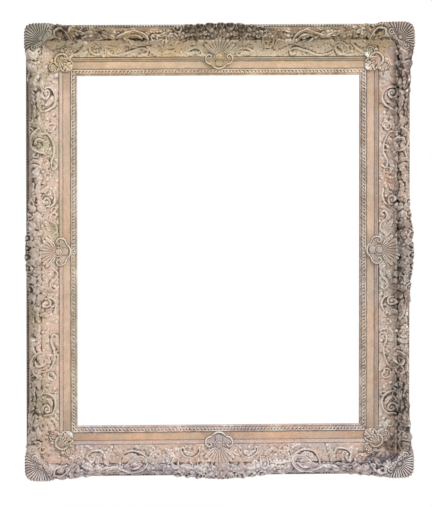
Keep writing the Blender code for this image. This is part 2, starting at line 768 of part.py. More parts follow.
def make_hangers(back_rails):
    """Strap, ring and screws on the left and right back rails."""
    strap_shape = strap_mesh()
    ring_shape = ring_curve()
    screw = slotted_screw_mesh(JOINT_GAP + SHEET_THICKNESS)
    height = CENTRE_Z + HALF_H + RAIL_WIDTH - HANGER_DROP
    for side, sign, turn in (("right", 1, 0.0), ("left", -1, math.pi)):
        barrel_x = sign * (HALF_W + HANGER_OFFSET)
        strap = add_object("hanger_strap_" + side, strap_shape, "zinc_steel", (barrel_x, 0, height), turn)
        place = (barrel_x, barrel_height(), height)
        ring = bpy.data.objects.new("hanger_ring_" + side, ring_shape)
        bpy.context.scene.collection.objects.link(ring)
        ring.location = place
        ring.rotation_euler = (0.0, turn, 0.0)
        if not ring_shape.materials:
            ring_shape.materials.append(None)
        ring.material_slots[0].link = "OBJECT"
        ring.material_slots[0].material = material(ring.name, "zinc_steel")
        for number, distance in enumerate((FIRST_SCREW, SECOND_SCREW), start=1):
            screw_place = (barrel_x + sign * distance, 0, height)
            fasten(f"strap_screw_{side}_{number}", screw, screw_place, (strap, back_rails[side]))


def button_places():
    """Where each turn button pivots, the rail it is on, and how it is turned at rest."""
    x = HALF_W + BUTTON_OFFSET
    z = HALF_H + BUTTON_OFFSET
    along_x = math.pi / 2
    return {
        "left_upper": ("left", (-x, 0, CENTRE_Z + BUTTON_SPREAD), 0.0),
        "left_lower": ("left", (-x, 0, CENTRE_Z - BUTTON_SPREAD), 0.0),
        "right_upper": ("right", (x, 0, CENTRE_Z + BUTTON_SPREAD), 0.0),
        "right_lower": ("right", (x, 0, CENTRE_Z - BUTTON_SPREAD), 0.0),
        "top": ("top", (0, 0, CENTRE_Z + z), along_x),
        "bottom": ("bottom", (0, 0, CENTRE_Z - z), along_x),
    }


def make_buttons(back_rails):
    """Turn buttons, each on its own screw, lying along the rails at rest."""
    shape = button_mesh()
    screw = slotted_screw_mesh(JOINT_GAP + BUTTON_THICKNESS)
    for name, (side, place, turn) in button_places().items():
        button = add_object("turn_button_" + name, shape, "aged_brass", place, turn)
        fasten("button_screw_" + name, screw, place, (button, back_rails[side]))


def key_pockets(back_rails, pocket_cutters):
    """Let each key's pocket into the two rails that meet there."""
    for corner, cutter in pocket_cutters.items():
        for side in corner.split("_"):
            cut(back_rails[side], cutter)


def main():
    """Build the whole frame."""
    for old in list(bpy.data.objects):
        bpy.data.objects.remove(old)
    back_rails = make_rails("back_rail", back_outline, straight_stations, "bare_pine")
    make_rails("sight_edge", sight_outline, straight_stations, "aged_gilding")
    make_rails("frieze", frieze_outline, straight_stations, "aged_gilding")
    make_rails("carved_rail", carved_outline, swept_stations, "aged_gilding")
    make_rails("bead_strip", bead_outline, straight_stations, "aged_gilding")
    make_ornaments()
    key_pockets(back_rails, make_keys())
    make_hangers(back_rails)
    make_buttons(back_rails)


main()
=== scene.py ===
# %% [markdown]
# A carved, gilded picture frame
#
# A frame like this is a pine moulding with plaster ornament pressed and glued on, then coated
# with gesso, gilded and toned. Years of dust have darkened its hollows, hands have rubbed its
# high places pale, and small chips show the white plaster underneath.
#
# The CAD part gives the sizes, the back and the hardware. This lesson adds the carved front:
# every moulding is one section carried along a rail, and every ornament on it is a height
# that pushes the surface outwards, worked out for the whole grid at once.

# %% Load the frame
import math

import bpy
import numpy as np
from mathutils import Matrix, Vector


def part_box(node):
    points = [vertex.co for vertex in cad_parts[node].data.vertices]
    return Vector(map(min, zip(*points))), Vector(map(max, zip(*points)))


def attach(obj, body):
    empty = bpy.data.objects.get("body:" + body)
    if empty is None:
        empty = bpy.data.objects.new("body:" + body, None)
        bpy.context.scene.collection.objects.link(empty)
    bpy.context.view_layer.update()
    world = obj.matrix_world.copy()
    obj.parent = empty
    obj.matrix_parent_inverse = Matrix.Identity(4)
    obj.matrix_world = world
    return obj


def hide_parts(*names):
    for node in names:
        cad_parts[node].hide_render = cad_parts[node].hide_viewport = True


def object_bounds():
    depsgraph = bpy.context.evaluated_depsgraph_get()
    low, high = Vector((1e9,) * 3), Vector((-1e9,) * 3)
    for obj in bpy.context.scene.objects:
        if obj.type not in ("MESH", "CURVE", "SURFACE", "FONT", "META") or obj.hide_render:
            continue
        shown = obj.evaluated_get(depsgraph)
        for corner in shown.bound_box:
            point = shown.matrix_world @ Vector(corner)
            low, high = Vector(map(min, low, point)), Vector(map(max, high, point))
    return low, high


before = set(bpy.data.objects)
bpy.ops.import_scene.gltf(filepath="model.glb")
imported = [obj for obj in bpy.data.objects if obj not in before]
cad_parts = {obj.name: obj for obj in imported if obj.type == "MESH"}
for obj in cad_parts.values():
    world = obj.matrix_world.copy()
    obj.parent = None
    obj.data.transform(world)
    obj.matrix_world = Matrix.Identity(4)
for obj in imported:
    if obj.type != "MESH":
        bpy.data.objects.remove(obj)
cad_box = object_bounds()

MM = 0.001


def as_lists(box):
    """The corners of a box as plain lists."""
    return [list(corner) for corner in box]


def add_object(name, data):
    """A new object for some data, linked to the scene."""
    made = bpy.data.objects.new(name, data)
    bpy.context.scene.collection.objects.link(made)
    return made


print("CAD nodes:", len(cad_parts), "box:", as_lists(cad_box))

# %% [markdown]
# Sizes from the CAD nodes
#
# Lengths in this lesson are millimetres until a mesh is made. A rail is drawn in its own
# terms: `a` runs along it from its middle, `w` runs outwards from the sight edge, which is
# the edge of the opening, and `h` stands forward of the wall side. Reading the sizes off the
# CAD boxes keeps the carving on the moulding when the moulding changes.

# %% Read the sizes
HALF_W = -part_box("sight_edge_left")[1].x / MM
SIGHT_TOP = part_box("sight_edge_top")[0].z / MM
SIGHT_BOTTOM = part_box("sight_edge_bottom")[1].z / MM
HALF_H = (SIGHT_TOP - SIGHT_BOTTOM) / 2
CENTRE_Z = (SIGHT_TOP + SIGHT_BOTTOM) / 2
FRIEZE_START = SIGHT_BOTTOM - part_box("frieze_bottom")[1].z / MM
CARVED_START = SIGHT_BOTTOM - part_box("carved_rail_bottom")[1].z / MM
RAIL_WIDTH = SIGHT_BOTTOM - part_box("bead_strip_bottom")[0].z / MM
FRONT_BASE = -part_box("carved_rail_bottom")[1].y / MM
OUTER_REACH = cad_box[1].x / MM - HALF_W
FRONT_REACH = -cad_box[0].y / MM

RAILS = {
    "bottom": (0.0, HALF_W, HALF_H),
    "right": (-math.pi / 2, HALF_H, HALF_W),
    "top": (math.pi, HALF_W, HALF_H),
    "left": (math.pi / 2, HALF_H, HALF_W),
}
CORNERS = {
    "bottom_right": (0.0, HALF_W, -HALF_H),
    "top_right": (-math.pi / 2, HALF_W, HALF_H),
    "top_left": (math.pi, -HALF_W, HALF_H),
    "bottom_left": (math.pi / 2, -HALF_W, -HALF_H),
}
print(f"opening {2 * HALF_W:.0f} x {2 * HALF_H:.0f} mm, rail {RAIL_WIDTH:.0f} mm wide")

# %% [markdown]
# Camera, light and floor
#
# The photograph was taken from a long way off, a little above and to the left of the middle,
# so the frame shows almost no perspective. A long lens from 16 m does the same. The light is
# soft and comes from above and slightly right: the slope under the top ridge is dark, and
# the one over the bottom ridge is bright.

# %% Camera
PICTURE_WIDTH, PICTURE_HEIGHT = 432, 507
MM_PER_PIXEL = 2.067
SIGHT_CENTRE_X, SIGHT_CENTRE_Y = 218.75, 250.5
SIGHT_DEPTH = 28.0
CAMERA_DISTANCE = 16000.0
CAMERA_AZIMUTH = -5.0
CAMERA_ELEVATION = 4.5


def aim_camera():
    """A camera on a sphere round the opening's middle, looking at it.

    The lens length is the sensor height times distance over the height that the picture
    covers, and the shift moves the opening's middle to its place in the picture.
    """
    data = bpy.data.cameras.new("camera")
    camera = add_object("camera", data)
    azimuth, elevation = math.radians(CAMERA_AZIMUTH), math.radians(CAMERA_ELEVATION)
    away = CAMERA_DISTANCE * MM
    camera.location = (
        away * math.sin(azimuth) * math.cos(elevation),
        -away * math.cos(azimuth) * math.cos(elevation) - SIGHT_DEPTH * MM,
        CENTRE_Z * MM + away * math.sin(elevation),
    )
    camera.rotation_euler = (math.pi / 2 - elevation, 0.0, azimuth)
    data.sensor_width = 36.0
    data.lens = data.sensor_width * CAMERA_DISTANCE / (PICTURE_HEIGHT * MM_PER_PIXEL)
    data.shift_x = (PICTURE_WIDTH / 2 - SIGHT_CENTRE_X) / PICTURE_HEIGHT
    data.shift_y = (SIGHT_CENTRE_Y - PICTURE_HEIGHT / 2) / PICTURE_HEIGHT
    data.clip_end = 100.0
    bpy.context.scene.camera = camera
    return camera


print("lens", round(aim_camera().data.lens), "mm")

# %% Light
KEY_LIGHT = ((1.35, -2.3, 2.2), 1.3, 96.0)
FILL_LIGHT = ((-1.9, -2.8, 0.2), 2.4, 12.0)
BACK_LIGHT = ((0.6, 3.0, 1.0), 2.4, 40.0)
ROOM_LIGHT = 0.40


def area_light(name, place, size, power):
    """A square lamp that faces the middle of the frame."""
    data = bpy.data.lights.new(name, "AREA")
    data.size = size
    data.energy = power
    lamp = add_object(name, data)
    lamp.location = place
    x, y, z = place[0], place[1], place[2] - CENTRE_Z * MM
    lamp.rotation_euler = (math.atan2(math.hypot(x, y), z), 0.0, math.atan2(x, -y))
    lamp.visible_camera = False
    return lamp


def white_world():
    """Soft light of one level all round, and plain white where the camera sees past."""
    world = bpy.data.worlds.new("studio")
    bpy.context.scene.world = world
    world.use_nodes = True
    tree = world.node_tree
    tree.nodes.clear()
    rays = tree.nodes.new("ShaderNodeLightPath")
    seen = tree.nodes.new("ShaderNodeMath")
    seen.operation = "MAXIMUM"
    tree.links.new(rays.outputs["Is Camera Ray"], seen.inputs[0])
    tree.links.new(rays.outputs["Is Transmission Ray"], seen.inputs[1])
    strength = tree.nodes.new("ShaderNodeMix")
    strength.inputs["A"].default_value = ROOM_LIGHT
    strength.inputs["B"].default_value = 1.0
    tree.links.new(seen.outputs[0], strength.inputs["Factor"])
    background = tree.nodes.new("ShaderNodeBackground")
    background.inputs["Color"].default_value = (1, 1, 1, 1)
    tree.links.new(strength.outputs["Result"], background.inputs["Strength"])
    out = tree.nodes.new("ShaderNodeOutputWorld")
    tree.links.new(background.outputs[0], out.inputs["Surface"])


area_light("key_light", *KEY_LIGHT)
area_light("fill_light", *FILL_LIGHT)
area_light("back_light", *BACK_LIGHT)
white_world()
bpy.context.scene.view_settings.view_transform = "Standard"
print("lights: key from above right, fill from the left, one behind for the back views")

# %% [markdown]
# Helpers for nodes
#
# Materials are chains of nodes, and a few helpers keep each material short. `wire` adds a
# node and sets its inputs, and links an input where the value is another node's socket.
# `laid_over` builds a finish as a painter does, one thin colour over another.

# %% Node helpers
def colour(code):
    """A colour written as it looks on a screen, like d8b08a, as the shader's linear values."""
    parts = np.array([int(code[i:i + 2], 16) for i in (0, 2, 4)]) / 255
    linear = np.where(parts <= 0.04045, parts / 12.92, ((parts + 0.055) / 1.055) ** 2.4)
    return (*linear.tolist(), 1.0)


def set_inputs(tree, node, **inputs):
    """Give a node's inputs values or links; _ stands for a space, and i0 is the first input."""
    for key, value in inputs.items():
        socket = node.inputs[int(key[1:]) if key[1:].isdigit() else key.replace("_", " ")]
        if isinstance(value, bpy.types.NodeSocket):
            tree.links.new(value, socket)
        else:
            socket.default_value = value


def wire(tree, kind, settings=None, **inputs):
    """Add a node, set its properties and give its inputs values or links."""
    node = tree.nodes.new("ShaderNode" + kind)
    for key, value in (settings or {}).items():
        setattr(node, key, value)
    set_inputs(tree, node, **inputs)
    return node


def step_up(tree, value, low, high, to_low=0.0, to_high=1.0):
    """A smooth step from to_low, where the value is low, to to_high, where it is high."""
    node = wire(
        tree, "MapRange", {"interpolation_type": "SMOOTHSTEP"}, Value=value,
        From_Min=low, From_Max=high, To_Min=to_low, To_Max=to_high,
    )
    return node.outputs["Result"]


def sum_of(tree, first, second, operation="ADD"):
    """Two values joined by one operation."""
    return wire(tree, "Math", {"operation": operation}, i0=first, i1=second).outputs[0]


def times(tree, first, second):
    """One value times another."""
    return sum_of(tree, first, second, "MULTIPLY")


def less(tree, first, second):
    """One value less another."""
    return sum_of(tree, first, second, "SUBTRACT")


def size_of(tree, value):
    """A value without its sign."""
    return wire(tree, "Math", {"operation": "ABSOLUTE"}, i0=value).outputs[0]


def stretched(tree, where, scales):
    """A position scaled along each axis, which draws noise out along the smallest scale."""
    return wire(tree, "VectorMath", {"operation": "MULTIPLY"}, i0=where, i1=scales).outputs[0]


def blend(tree, share, first, second):
    """Two colours mixed by a share."""
    return wire(tree, "Mix", {"data_type": "RGBA"}, i0=share, i6=first, i7=second).outputs[2]


def laid_over(tree, tone, layers):
    """Colours laid over a tone in turn, each given as a mask, the mask's strength and a code."""
    for mask, strength, code in layers:
        tone = blend(tree, times(tree, mask, strength), tone, colour(code))
    return tone


def noise(tree, where, scale, detail=3.0, roughness=0.55):
    """Cloudy noise between 0 and 1."""
    node = wire(tree, "TexNoise", Vector=where, Scale=scale, Detail=detail, Roughness=roughness)
    return node.outputs["Fac"]


def new_group(name, ins, outs):
    """An empty node group with float inputs, given with their defaults, and named outputs."""
    group = bpy.data.node_groups.new(name, "ShaderNodeTree")
    for label, default in ins.items():
        kind = "NodeSocketVector" if default is None else "NodeSocketFloat"
        socket = group.interface.new_socket(label, in_out="INPUT", socket_type=kind)
        if default is not None:
            socket.default_value = default
    for label in outs:
        group.interface.new_socket(label, in_out="OUTPUT", socket_type="NodeSocketFloat")
    start = group.nodes.new("NodeGroupInput")
    end = group.nodes.new("NodeGroupOutput")
    return group, start.outputs, end.inputs


def use_group(tree, group, **inputs):
    """The outputs of a group placed in a material, with its own values."""
    return wire(tree, "Group", {"node_tree": group}, **inputs).outputs


def new_material(name):
    """A material with its Principled shader, its tree and its object coordinates."""
    made = bpy.data.materials.new(name)
    made.use_nodes = True
    tree = made.node_tree
    shader = tree.nodes["Principled BSDF"]
    where = tree.nodes.new("ShaderNodeTexCoord").outputs["Object"]
    return made, tree, shader, where


def bump(tree, shader, height, strength, distance):
    """Small roughness of the surface, as a Bump node on the shader's normal."""
    node = wire(tree, "Bump", Height=height, Strength=strength, Distance=distance)
    set_inputs(tree, shader, Normal=node.outputs["Normal"])


print("node helpers ready")

# %% [markdown]
# Effects that several finishes share
#
# - Wear and painted light: dust settles where the surface lies lower than what is round it,
#   and the same darkening paints the shade of the hollows; hands rub what stands higher, and
#   the same pale paints highlights on the edges. The meshes carry both as attributes, `hollow`
#   and `crest`, and the group breaks the masks up with noise so that they don't look drawn.
# - Patches: old gilding is never one colour. Broad clouds, a stain and a finer mottle do that.
# - Grain: noise stretched along the board.
# - Metal: cloudy tarnish, spots and scratches.

# %% Shared node groups
def wear_and_painted_light_group():
    """Grime, dirt that also paints shade, grows with hollow; rub, wear that also paints highlights, with
    crest; deep is the darkest part of grime.
    """
    ins = {"Position": None, "Hollow": 0.0, "Crest": 0.0, "Grime Level": 0.12, "Rub Level": 0.25}
    group, start, end = new_group("old_wear_and_painted_light", ins, ("Grime", "Rub", "Deep"))
    speckle = less(group, noise(group, start["Position"], 190.0, 4.0, 0.65), 0.5)
    cloud = less(group, noise(group, start["Position"], 26.0, 2.0), 0.5)
    fine = times(group, speckle, 0.7)
    level = sum_of(group, start["Hollow"], sum_of(group, fine, times(group, cloud, 0.6)))
    grime = less(group, level, start["Grime Level"])
    patchy = sum_of(group, fine, times(group, cloud, 2.2))
    rub = less(group, less(group, start["Crest"], patchy), start["Rub Level"])
    # Grime is dirt and painted shade in the hollows, Rub is wear and painted highlight on the crests, and
    # Deep is the darkest grime and shade.
    group.links.new(step_up(group, grime, 0.0, 0.62), end["Grime"])
    group.links.new(step_up(group, rub, 0.0, 0.50), end["Rub"])
    group.links.new(step_up(group, level, 0.62, 1.15), end["Deep"])
    return group


# For each kind: whether its noise is read at a moved place, then scale, detail, roughness and
# the two ends of the step
PATCH_KINDS = {
    "Broad": (False, 7.0, 2.0, 0.55, 0.38, 0.64),
    "Stain": (True, 15.0, 3.0, 0.55, 0.48, 0.66),
    "Mottle": (False, 60.0, 4.0, 0.65, 0.36, 0.66),
    "Specks": (False, 380.0, 2.0, 0.6, 0.56, 0.72),
    "Flecks": (True, 330.0, 2.0, 0.6, 0.57, 0.70),
}


def patch_group():
    """Broad clouds, stains, a finer mottle, dark specks and pale flecks, each from 0 to 1."""
    group, start, end = new_group("old_patches", {"Position": None}, PATCH_KINDS)
    where = start["Position"]
    elsewhere = wire(group, "VectorMath", {"operation": "ADD"}, i0=where, i1=(3.7, 1.9, 8.3)).outputs[0]
    for kind, (moved, scale, detail, rough, low, high) in PATCH_KINDS.items():
        cloud = noise(group, elsewhere if moved else where, scale, detail, rough)
        group.links.new(step_up(group, cloud, low, high), end[kind])
    return group


def grain_group():
    """Streaks along X of the given position, as a broad figure and fine pores."""
    group, start, end = new_group("wood_grain", {"Position": None}, ("Figure", "Pores"))
    drawn = stretched(group, start["Position"], (0.9, 14.0, 14.0))
    figure = noise(group, drawn, 5.5, 4.0, 0.6)
    pores = noise(group, drawn, 46.0, 3.0, 0.7)
    group.links.new(step_up(group, figure, 0.30, 0.70), end["Figure"])
    group.links.new(step_up(group, pores, 0.45, 0.75), end["Pores"])
    return group


def metal_group():
    """Cloudy tarnish, pinpoint spots and short rubbed scratches."""
    group, start, end = new_group("old_metal", {"Position": None}, ("Tarnish", "Spots", "Scratches"))
    where = start["Position"]
    group.links.new(step_up(group, noise(group, where, 190.0, 4.0), 0.40, 0.62), end["Tarnish"])
    group.links.new(step_up(group, noise(group, where, 900.0, 2.0), 0.60, 0.72), end["Spots"])
    drawn = stretched(group, where, (1.0, 6.0, 12.0))
    group.links.new(noise(group, drawn, 260.0, 2.0), end["Scratches"])
    return group


WEAR_AND_PAINTED_LIGHT = wear_and_painted_light_group()
PATCHES = patch_group()
GRAIN = grain_group()
METAL = metal_group()
print("node groups:", [g.name for g in (WEAR_AND_PAINTED_LIGHT, PATCHES, GRAIN, METAL)])

# %% [markdown]
# The gilded finish
#
# One recipe makes every gilded surface, with its own tones: a flesh-coloured ground, a grey
# veil of old toning in clouds, a stain here and there, thin pale lines where the crests are
# rubbed, which are also painted highlights, and brown grime in the hollows, which is also
# painted shade. A further mask paints shade under the overhangs, with the old dirt that lies
# thick there, and `chip` bares white plaster. Toned gilding is nearly matt, so the metallic
# share is small and only the rubbed places shine a little.

# %% Gilded finish
PLASTER = colour("f4f2f0")
GILT_METALLIC = 0.08


def attribute(tree, name):
    """A value that the mesh carries at its points."""
    return wire(tree, "Attribute", {"attribute_name": name}).outputs["Fac"]


def gilded(name, ground, veil, stain, rub_and_highlight_tone, grime, darkening, grime_level=0.08, rub_level=0.34):
    """Ground, veil and stain mixed in clouds, then rub and painted highlight, grime and painted shade,
    painted shade with soot, and chips laid over.
    """
    made, tree, shader, where = new_material(name)
    patches = use_group(tree, PATCHES, Position=where)
    wear_and_painted_light = use_group(
        tree, WEAR_AND_PAINTED_LIGHT, Position=where, Hollow=attribute(tree, "hollow"), Crest=attribute(tree, "crest"),
        Grime_Level=grime_level, Rub_Level=rub_level,
    )
    clouds = times(tree, sum_of(tree, patches["Broad"], patches["Mottle"]), 0.42)
    clouds = sum_of(tree, clouds, times(tree, attribute(tree, "raised"), 0.32))
    # Rub paints worn crests pale, which also stands for highlights; Grime and Deep darken the hollows with
    # dirt and painted shade.
    tone = laid_over(tree, blend(tree, clouds, colour(ground), colour(veil)), (
        (patches["Stain"], 0.62, stain), (patches["Specks"], 0.52, grime),
        (patches["Flecks"], 0.62, rub_and_highlight_tone), (wear_and_painted_light["Rub"], 0.72, rub_and_highlight_tone),
        (wear_and_painted_light["Grime"], 0.88, grime), (wear_and_painted_light["Deep"], 0.72, darkening),
    ))
    # Painted shade under the overhangs, with the soot there, laid over in the darkest tone.
    broken = step_up(tree, patches["Mottle"], 0.0, 1.0, 0.78, 1.0)
    soot = times(tree, attribute(tree, "soot"), broken)
    tone = blend(tree, soot, tone, colour(darkening))
    tone = blend(tree, attribute(tree, "chip"), tone, PLASTER)
    rough = step_up(tree, wear_and_painted_light["Rub"], 0.0, 1.0, 0.74, 0.54)
    set_inputs(tree, shader, Base_Color=tone, Roughness=rough, Metallic=GILT_METALLIC)
    bump(tree, shader, sum_of(tree, patches["Mottle"], patches["Specks"]), 0.30, 0.0005)
    return made


def gilded_set(kind, tones, *levels):
    """One finish for each place in a table of tones, in the order that gilded takes them."""
    return {place: gilded(f"{kind}_gilding_{place}", *codes, *levels) for place, codes in tones.items()}


# Each table's tones: ground, veil, stain, the pale tone of rub and painted highlight, the tone of grime and
# painted shade, and the darkest tone, of deep hollows and of painted shade with soot.
COVE_TONES = {
    "top": ("e3c6a2", "c4b9a3", "c5a46d", "e3d5bb", "5a4733", "3b2a1c"),
    "left": ("dfbea9", "c6bbad", "b5aa85", "f1e9dc", "6a5846", "3f3427"),
    "right": ("d2b8a8", "b9b0a6", "c3987a", "ebe3d9", "5a4c43", "3a302e"),
    "bottom": ("dbb8a2", "bfb5b0", "ada0a6", "f6f1ed", "6f605a", "3c3a46"),
}
RIDGE_TONES = {
    # The top ridge, and less so the right one, has darker tones than the others: partly its own colour,
    # partly painted shade on a ridge whose inner slope faces away from the light.
    "top": ("b0906c", "8c7c66", "9a7a52", "e3d6be", "3a2a1a", "2e2018"),
    "left": ("e4c2af", "c9bbaf", "a69b78", "e4d8c7", "554536", "3f3427"),
    "right": ("cbae99", "a59a92", "a3826f", "e2d6cb", "35281f", "2e2625"),
    "bottom": ("d6bbad", "b8acac", "9c909b", "f3edea", "5e5153", "3c3a48"),
    "grey_corner": ("aea08a", "9b978b", "8f8b78", "c9c1b1", "4d4233", "3a3027"),
}
SIGHT_TONES = {
    "top": ("dcb893", "b8a58f", "ad9780", "f3e6d3", "5c4a38", "3b2a1c"),
    "left": ("c8b097", "b3a798", "a99d8d", "efe8dd", "5b4f42", "3f3427"),
    "right": ("c6ab96", "a0968d", "988d86", "ece5dd", "4e443d", "3a302e"),
    "bottom": ("dcb9a0", "b3a6a1", "a89ba0", "f6f0ec", "5a4d48", "3c3a46"),
}
BEAD_TONES = {
    # The top run is paler than the others: painted light on beads that face the light from above.
    "top": ("cbc1b6", "b4aaa4", "a89c90", "f2ede8", "5a4f4c", "3b3230"),
    "left": ("a39689", "85797a", "8d8076", "dfd8d2", "443a3c", "2f2828"),
    "right": ("a39689", "8c8180", "8d8076", "dfd8d2", "443a3c", "2f2828"),
    "bottom": ("a39689", "85797a", "8d8076", "dfd8d2", "443a3c", "2f2828"),
}
COVE_FINISH = gilded_set("cove", COVE_TONES)
RIDGE_FINISH = gilded_set("ridge", RIDGE_TONES)
SIGHT_FINISH = gilded_set("sight", SIGHT_TONES, 0.04, 0.26)
BEAD_FINISH = gilded_set("bead", BEAD_TONES)
print("gilded finishes:", len(COVE_FINISH) + len(RIDGE_FINISH) + len(SIGHT_FINISH) + len(BEAD_FINISH))

# %% [markdown]
# Meshes from arrays
#
# A carved surface is a grid of points. `make_piece` takes the points and the faces as
# arrays, and the volume that the faces enclose tells whether they point outwards: if it
# comes out negative, every face is turned over.

# %% Mesh helpers
def grid_faces(rows, columns, wrap):
    """Four corners for each cell of a grid of points; wrap joins the last column to the first."""
    row = np.arange(rows - 1)[:, None]
    column = np.arange(columns if wrap else columns - 1)[None, :]
    ahead = (column + 1) % columns
    corners = (row * columns + column, row * columns + ahead,
               (row + 1) * columns + ahead, (row + 1) * columns + column)
    return np.stack([np.broadcast_to(c, (rows - 1, column.size)) for c in corners], axis=-1).reshape(-1, 4)


def end_caps(rows, columns):
    """The two ends of a closed run as one loop of points each, both wound to face outwards."""
    loop = np.arange(columns)
    return np.array([loop[::-1], loop + (rows - 1) * columns])


def wear_and_painted_light_masks(hollow, crest, **others):
    """The values that the gilding reads at each point; those not given are 0 all over."""
    none = np.zeros_like(hollow)
    return {"hollow": hollow, "crest": crest, "chip": none, "soot": none, "raised": none, **others}


def enclosed_volume(points, face_sets):
    """Sum over a fan of triangles of each face of corner . (corner x corner) / 6."""
    total = 0.0
    for faces in face_sets:
        for k in range(1, faces.shape[1] - 1):
            a, b, c = points[faces[:, 0]], points[faces[:, k]], points[faces[:, k + 1]]
            total += np.einsum("ij,ij->", a, np.cross(b, c)) / 6
    return total


def make_piece(name, points, smooth_faces, flat_faces, finish, attributes=None):
    """A mesh object from points in metres and arrays of faces, smooth ones and flat ones."""
    face_sets = [np.asarray(f) for f in (*smooth_faces, *flat_faces)]
    if enclosed_volume(points, face_sets) < 0:
        face_sets = [faces[:, ::-1] for faces in face_sets]
    totals = np.concatenate([np.full(len(f), f.shape[1]) for f in face_sets])
    corners = np.concatenate([f.ravel() for f in face_sets])
    mesh = bpy.data.meshes.new(name)
    mesh.vertices.add(len(points))
    mesh.vertices.foreach_set("co", points.astype(np.float32).ravel())
    mesh.loops.add(len(corners))
    mesh.loops.foreach_set("vertex_index", corners.astype(np.int32))
    mesh.polygons.add(len(totals))
    starts = np.concatenate([[0], np.cumsum(totals)[:-1]])
    mesh.polygons.foreach_set("loop_start", starts.astype(np.int32))
    smooth = np.concatenate([np.full(len(f), k < len(smooth_faces)) for k, f in enumerate(face_sets)])
    mesh.polygons.foreach_set("use_smooth", smooth)
    mesh.update(calc_edges=True)
    mesh.validate()
    for label, values in (attributes or {}).items():
        held = mesh.attributes.new(label, "FLOAT", "POINT")
        held.data.foreach_set("value", values.astype(np.float32).ravel())
    mesh.materials.append(finish)
    print(f"{name}: {int((totals - 2).sum())} triangles")
    return add_object(name, mesh)


def make_run(name, shape, points, finish, masks):
    """A closed section carried along a rail, as rows by columns of points, with its end caps."""
    return make_piece(name, points, [grid_faces(*shape, True)], [end_caps(*shape)], finish, masks)


def stand_for(piece, *nodes, slot="aged_gilding", body="frame"):
    """Let the piece ride on its body and stand for its CAD nodes; the slot is not used."""
    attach(piece, body)
    if nodes:
        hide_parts(*nodes)
    return piece


def to_world(turn, x0, z0, a, w, h):
    """Metres in the shared frame, from a place on the bottom rail turned about Y."""
    x = x0 + a * math.cos(turn) - w * math.sin(turn)
    z = z0 - w * math.cos(turn) - a * math.sin(turn)
    return np.stack([x, -h, CENTRE_Z + z], axis=-1).reshape(-1, 3) * MM


print("mesh helpers ready")

# %% [markdown]
# Carving marks
#
# A carver builds foliage from few strokes: straps that curl into volutes, leaves with a
# midrib and lobes, beads, rosettes and ribbed fans. Each mark here is a reach, the box that
# it lies in, and a rise, a function that gives its height for arrays of places. A mark along
# a path asks each place for the nearest point of the path, and on which side of it it lies.

# %% Paths
def smooth_path(points, step=0.7):
    """Points a short step apart on a curve through the given ones.

    Each span is the cubic with the given ends, whose slopes there follow the neighbours.
    """
    knots = np.array(points, float)
    spans = np.linalg.norm(np.diff(knots, axis=0), axis=1)
    place = np.concatenate([[0.0], np.cumsum(spans)])
    slope = np.gradient(knots, place, axis=0)
    t = np.linspace(0.0, place[-1], max(int(place[-1] / step), 3) + 1)
    i = np.clip(np.searchsorted(place, t, side="right") - 1, 0, len(spans) - 1)
    s = ((t - place[i]) / spans[i])[:, None]
    span = spans[i][:, None]
    near = (1 + 2 * s) * (1 - s) ** 2 * knots[i] + s * (1 - s) ** 2 * span * slope[i]
    return near + s ** 2 * (3 - 2 * s) * knots[i + 1] - s ** 2 * (1 - s) * span * slope[i + 1]


def nearest(path, p, q):
    """For each place, the index of the path's nearest point and the signed distance to it.

    The sign is that of the cross product of the path's heading and the way to the place.
    """
    gap = (p[:, None] - path[None, :, 0]) ** 2 + (q[:, None] - path[None, :, 1]) ** 2
    index = gap.argmin(axis=1)
    heading = np.gradient(path, axis=0)[index]
    cross = heading[:, 0] * (q - path[index, 1]) - heading[:, 1] * (p - path[index, 0])
    return index, np.sqrt(gap[np.arange(len(p)), index]) * np.where(cross < 0, -1, 1)


def reach_of(points, margin):
    """The box round some points, with a margin."""
    points = np.asarray(points)
    return (*(points.min(axis=0) - margin), *(points.max(axis=0) + margin))


def dome(out):
    """A half circle over -1 to 1: the square root of 1 less the square."""
    return np.sqrt(np.clip(1 - out ** 2, 0, None))


print("path helpers ready")


# %% Marks
def strap(points, width, height, hollow=0.4, taper=(0.6, 0.6), lean=0.12):
    """A raised strap along a path, tapered at its ends, with a channel along its back.

    Height times (dome x tilt - hollow x bell). The bell is centred off the middle by lean
    half widths and the dome is tilted steeply away from it, so that a scroll has one thin
    high rim and falls away on its other side.
    """
    path = smooth_path(points)
    share = np.linspace(0, 1, len(path))
    ends = taper[0] + (taper[1] - taper[0]) * share
    half = width / 2 * (ends + (1 - ends) * np.sqrt(np.sin(math.pi * share)))

    def rise(p, q):
        i, gap = nearest(path, p, q)
        out = gap / half[i]
        channel = hollow * np.exp(-((out - lean) / 0.42) ** 2)
        body = dome(out) ** 0.8 * np.clip(1 - 2.6 * lean * out, 0.2, 2) - channel
        return height * (0.6 + 0.4 * half[i] / half.max()) * np.clip(body, 0, None)

    return [(reach_of(path, width / 2), rise)]


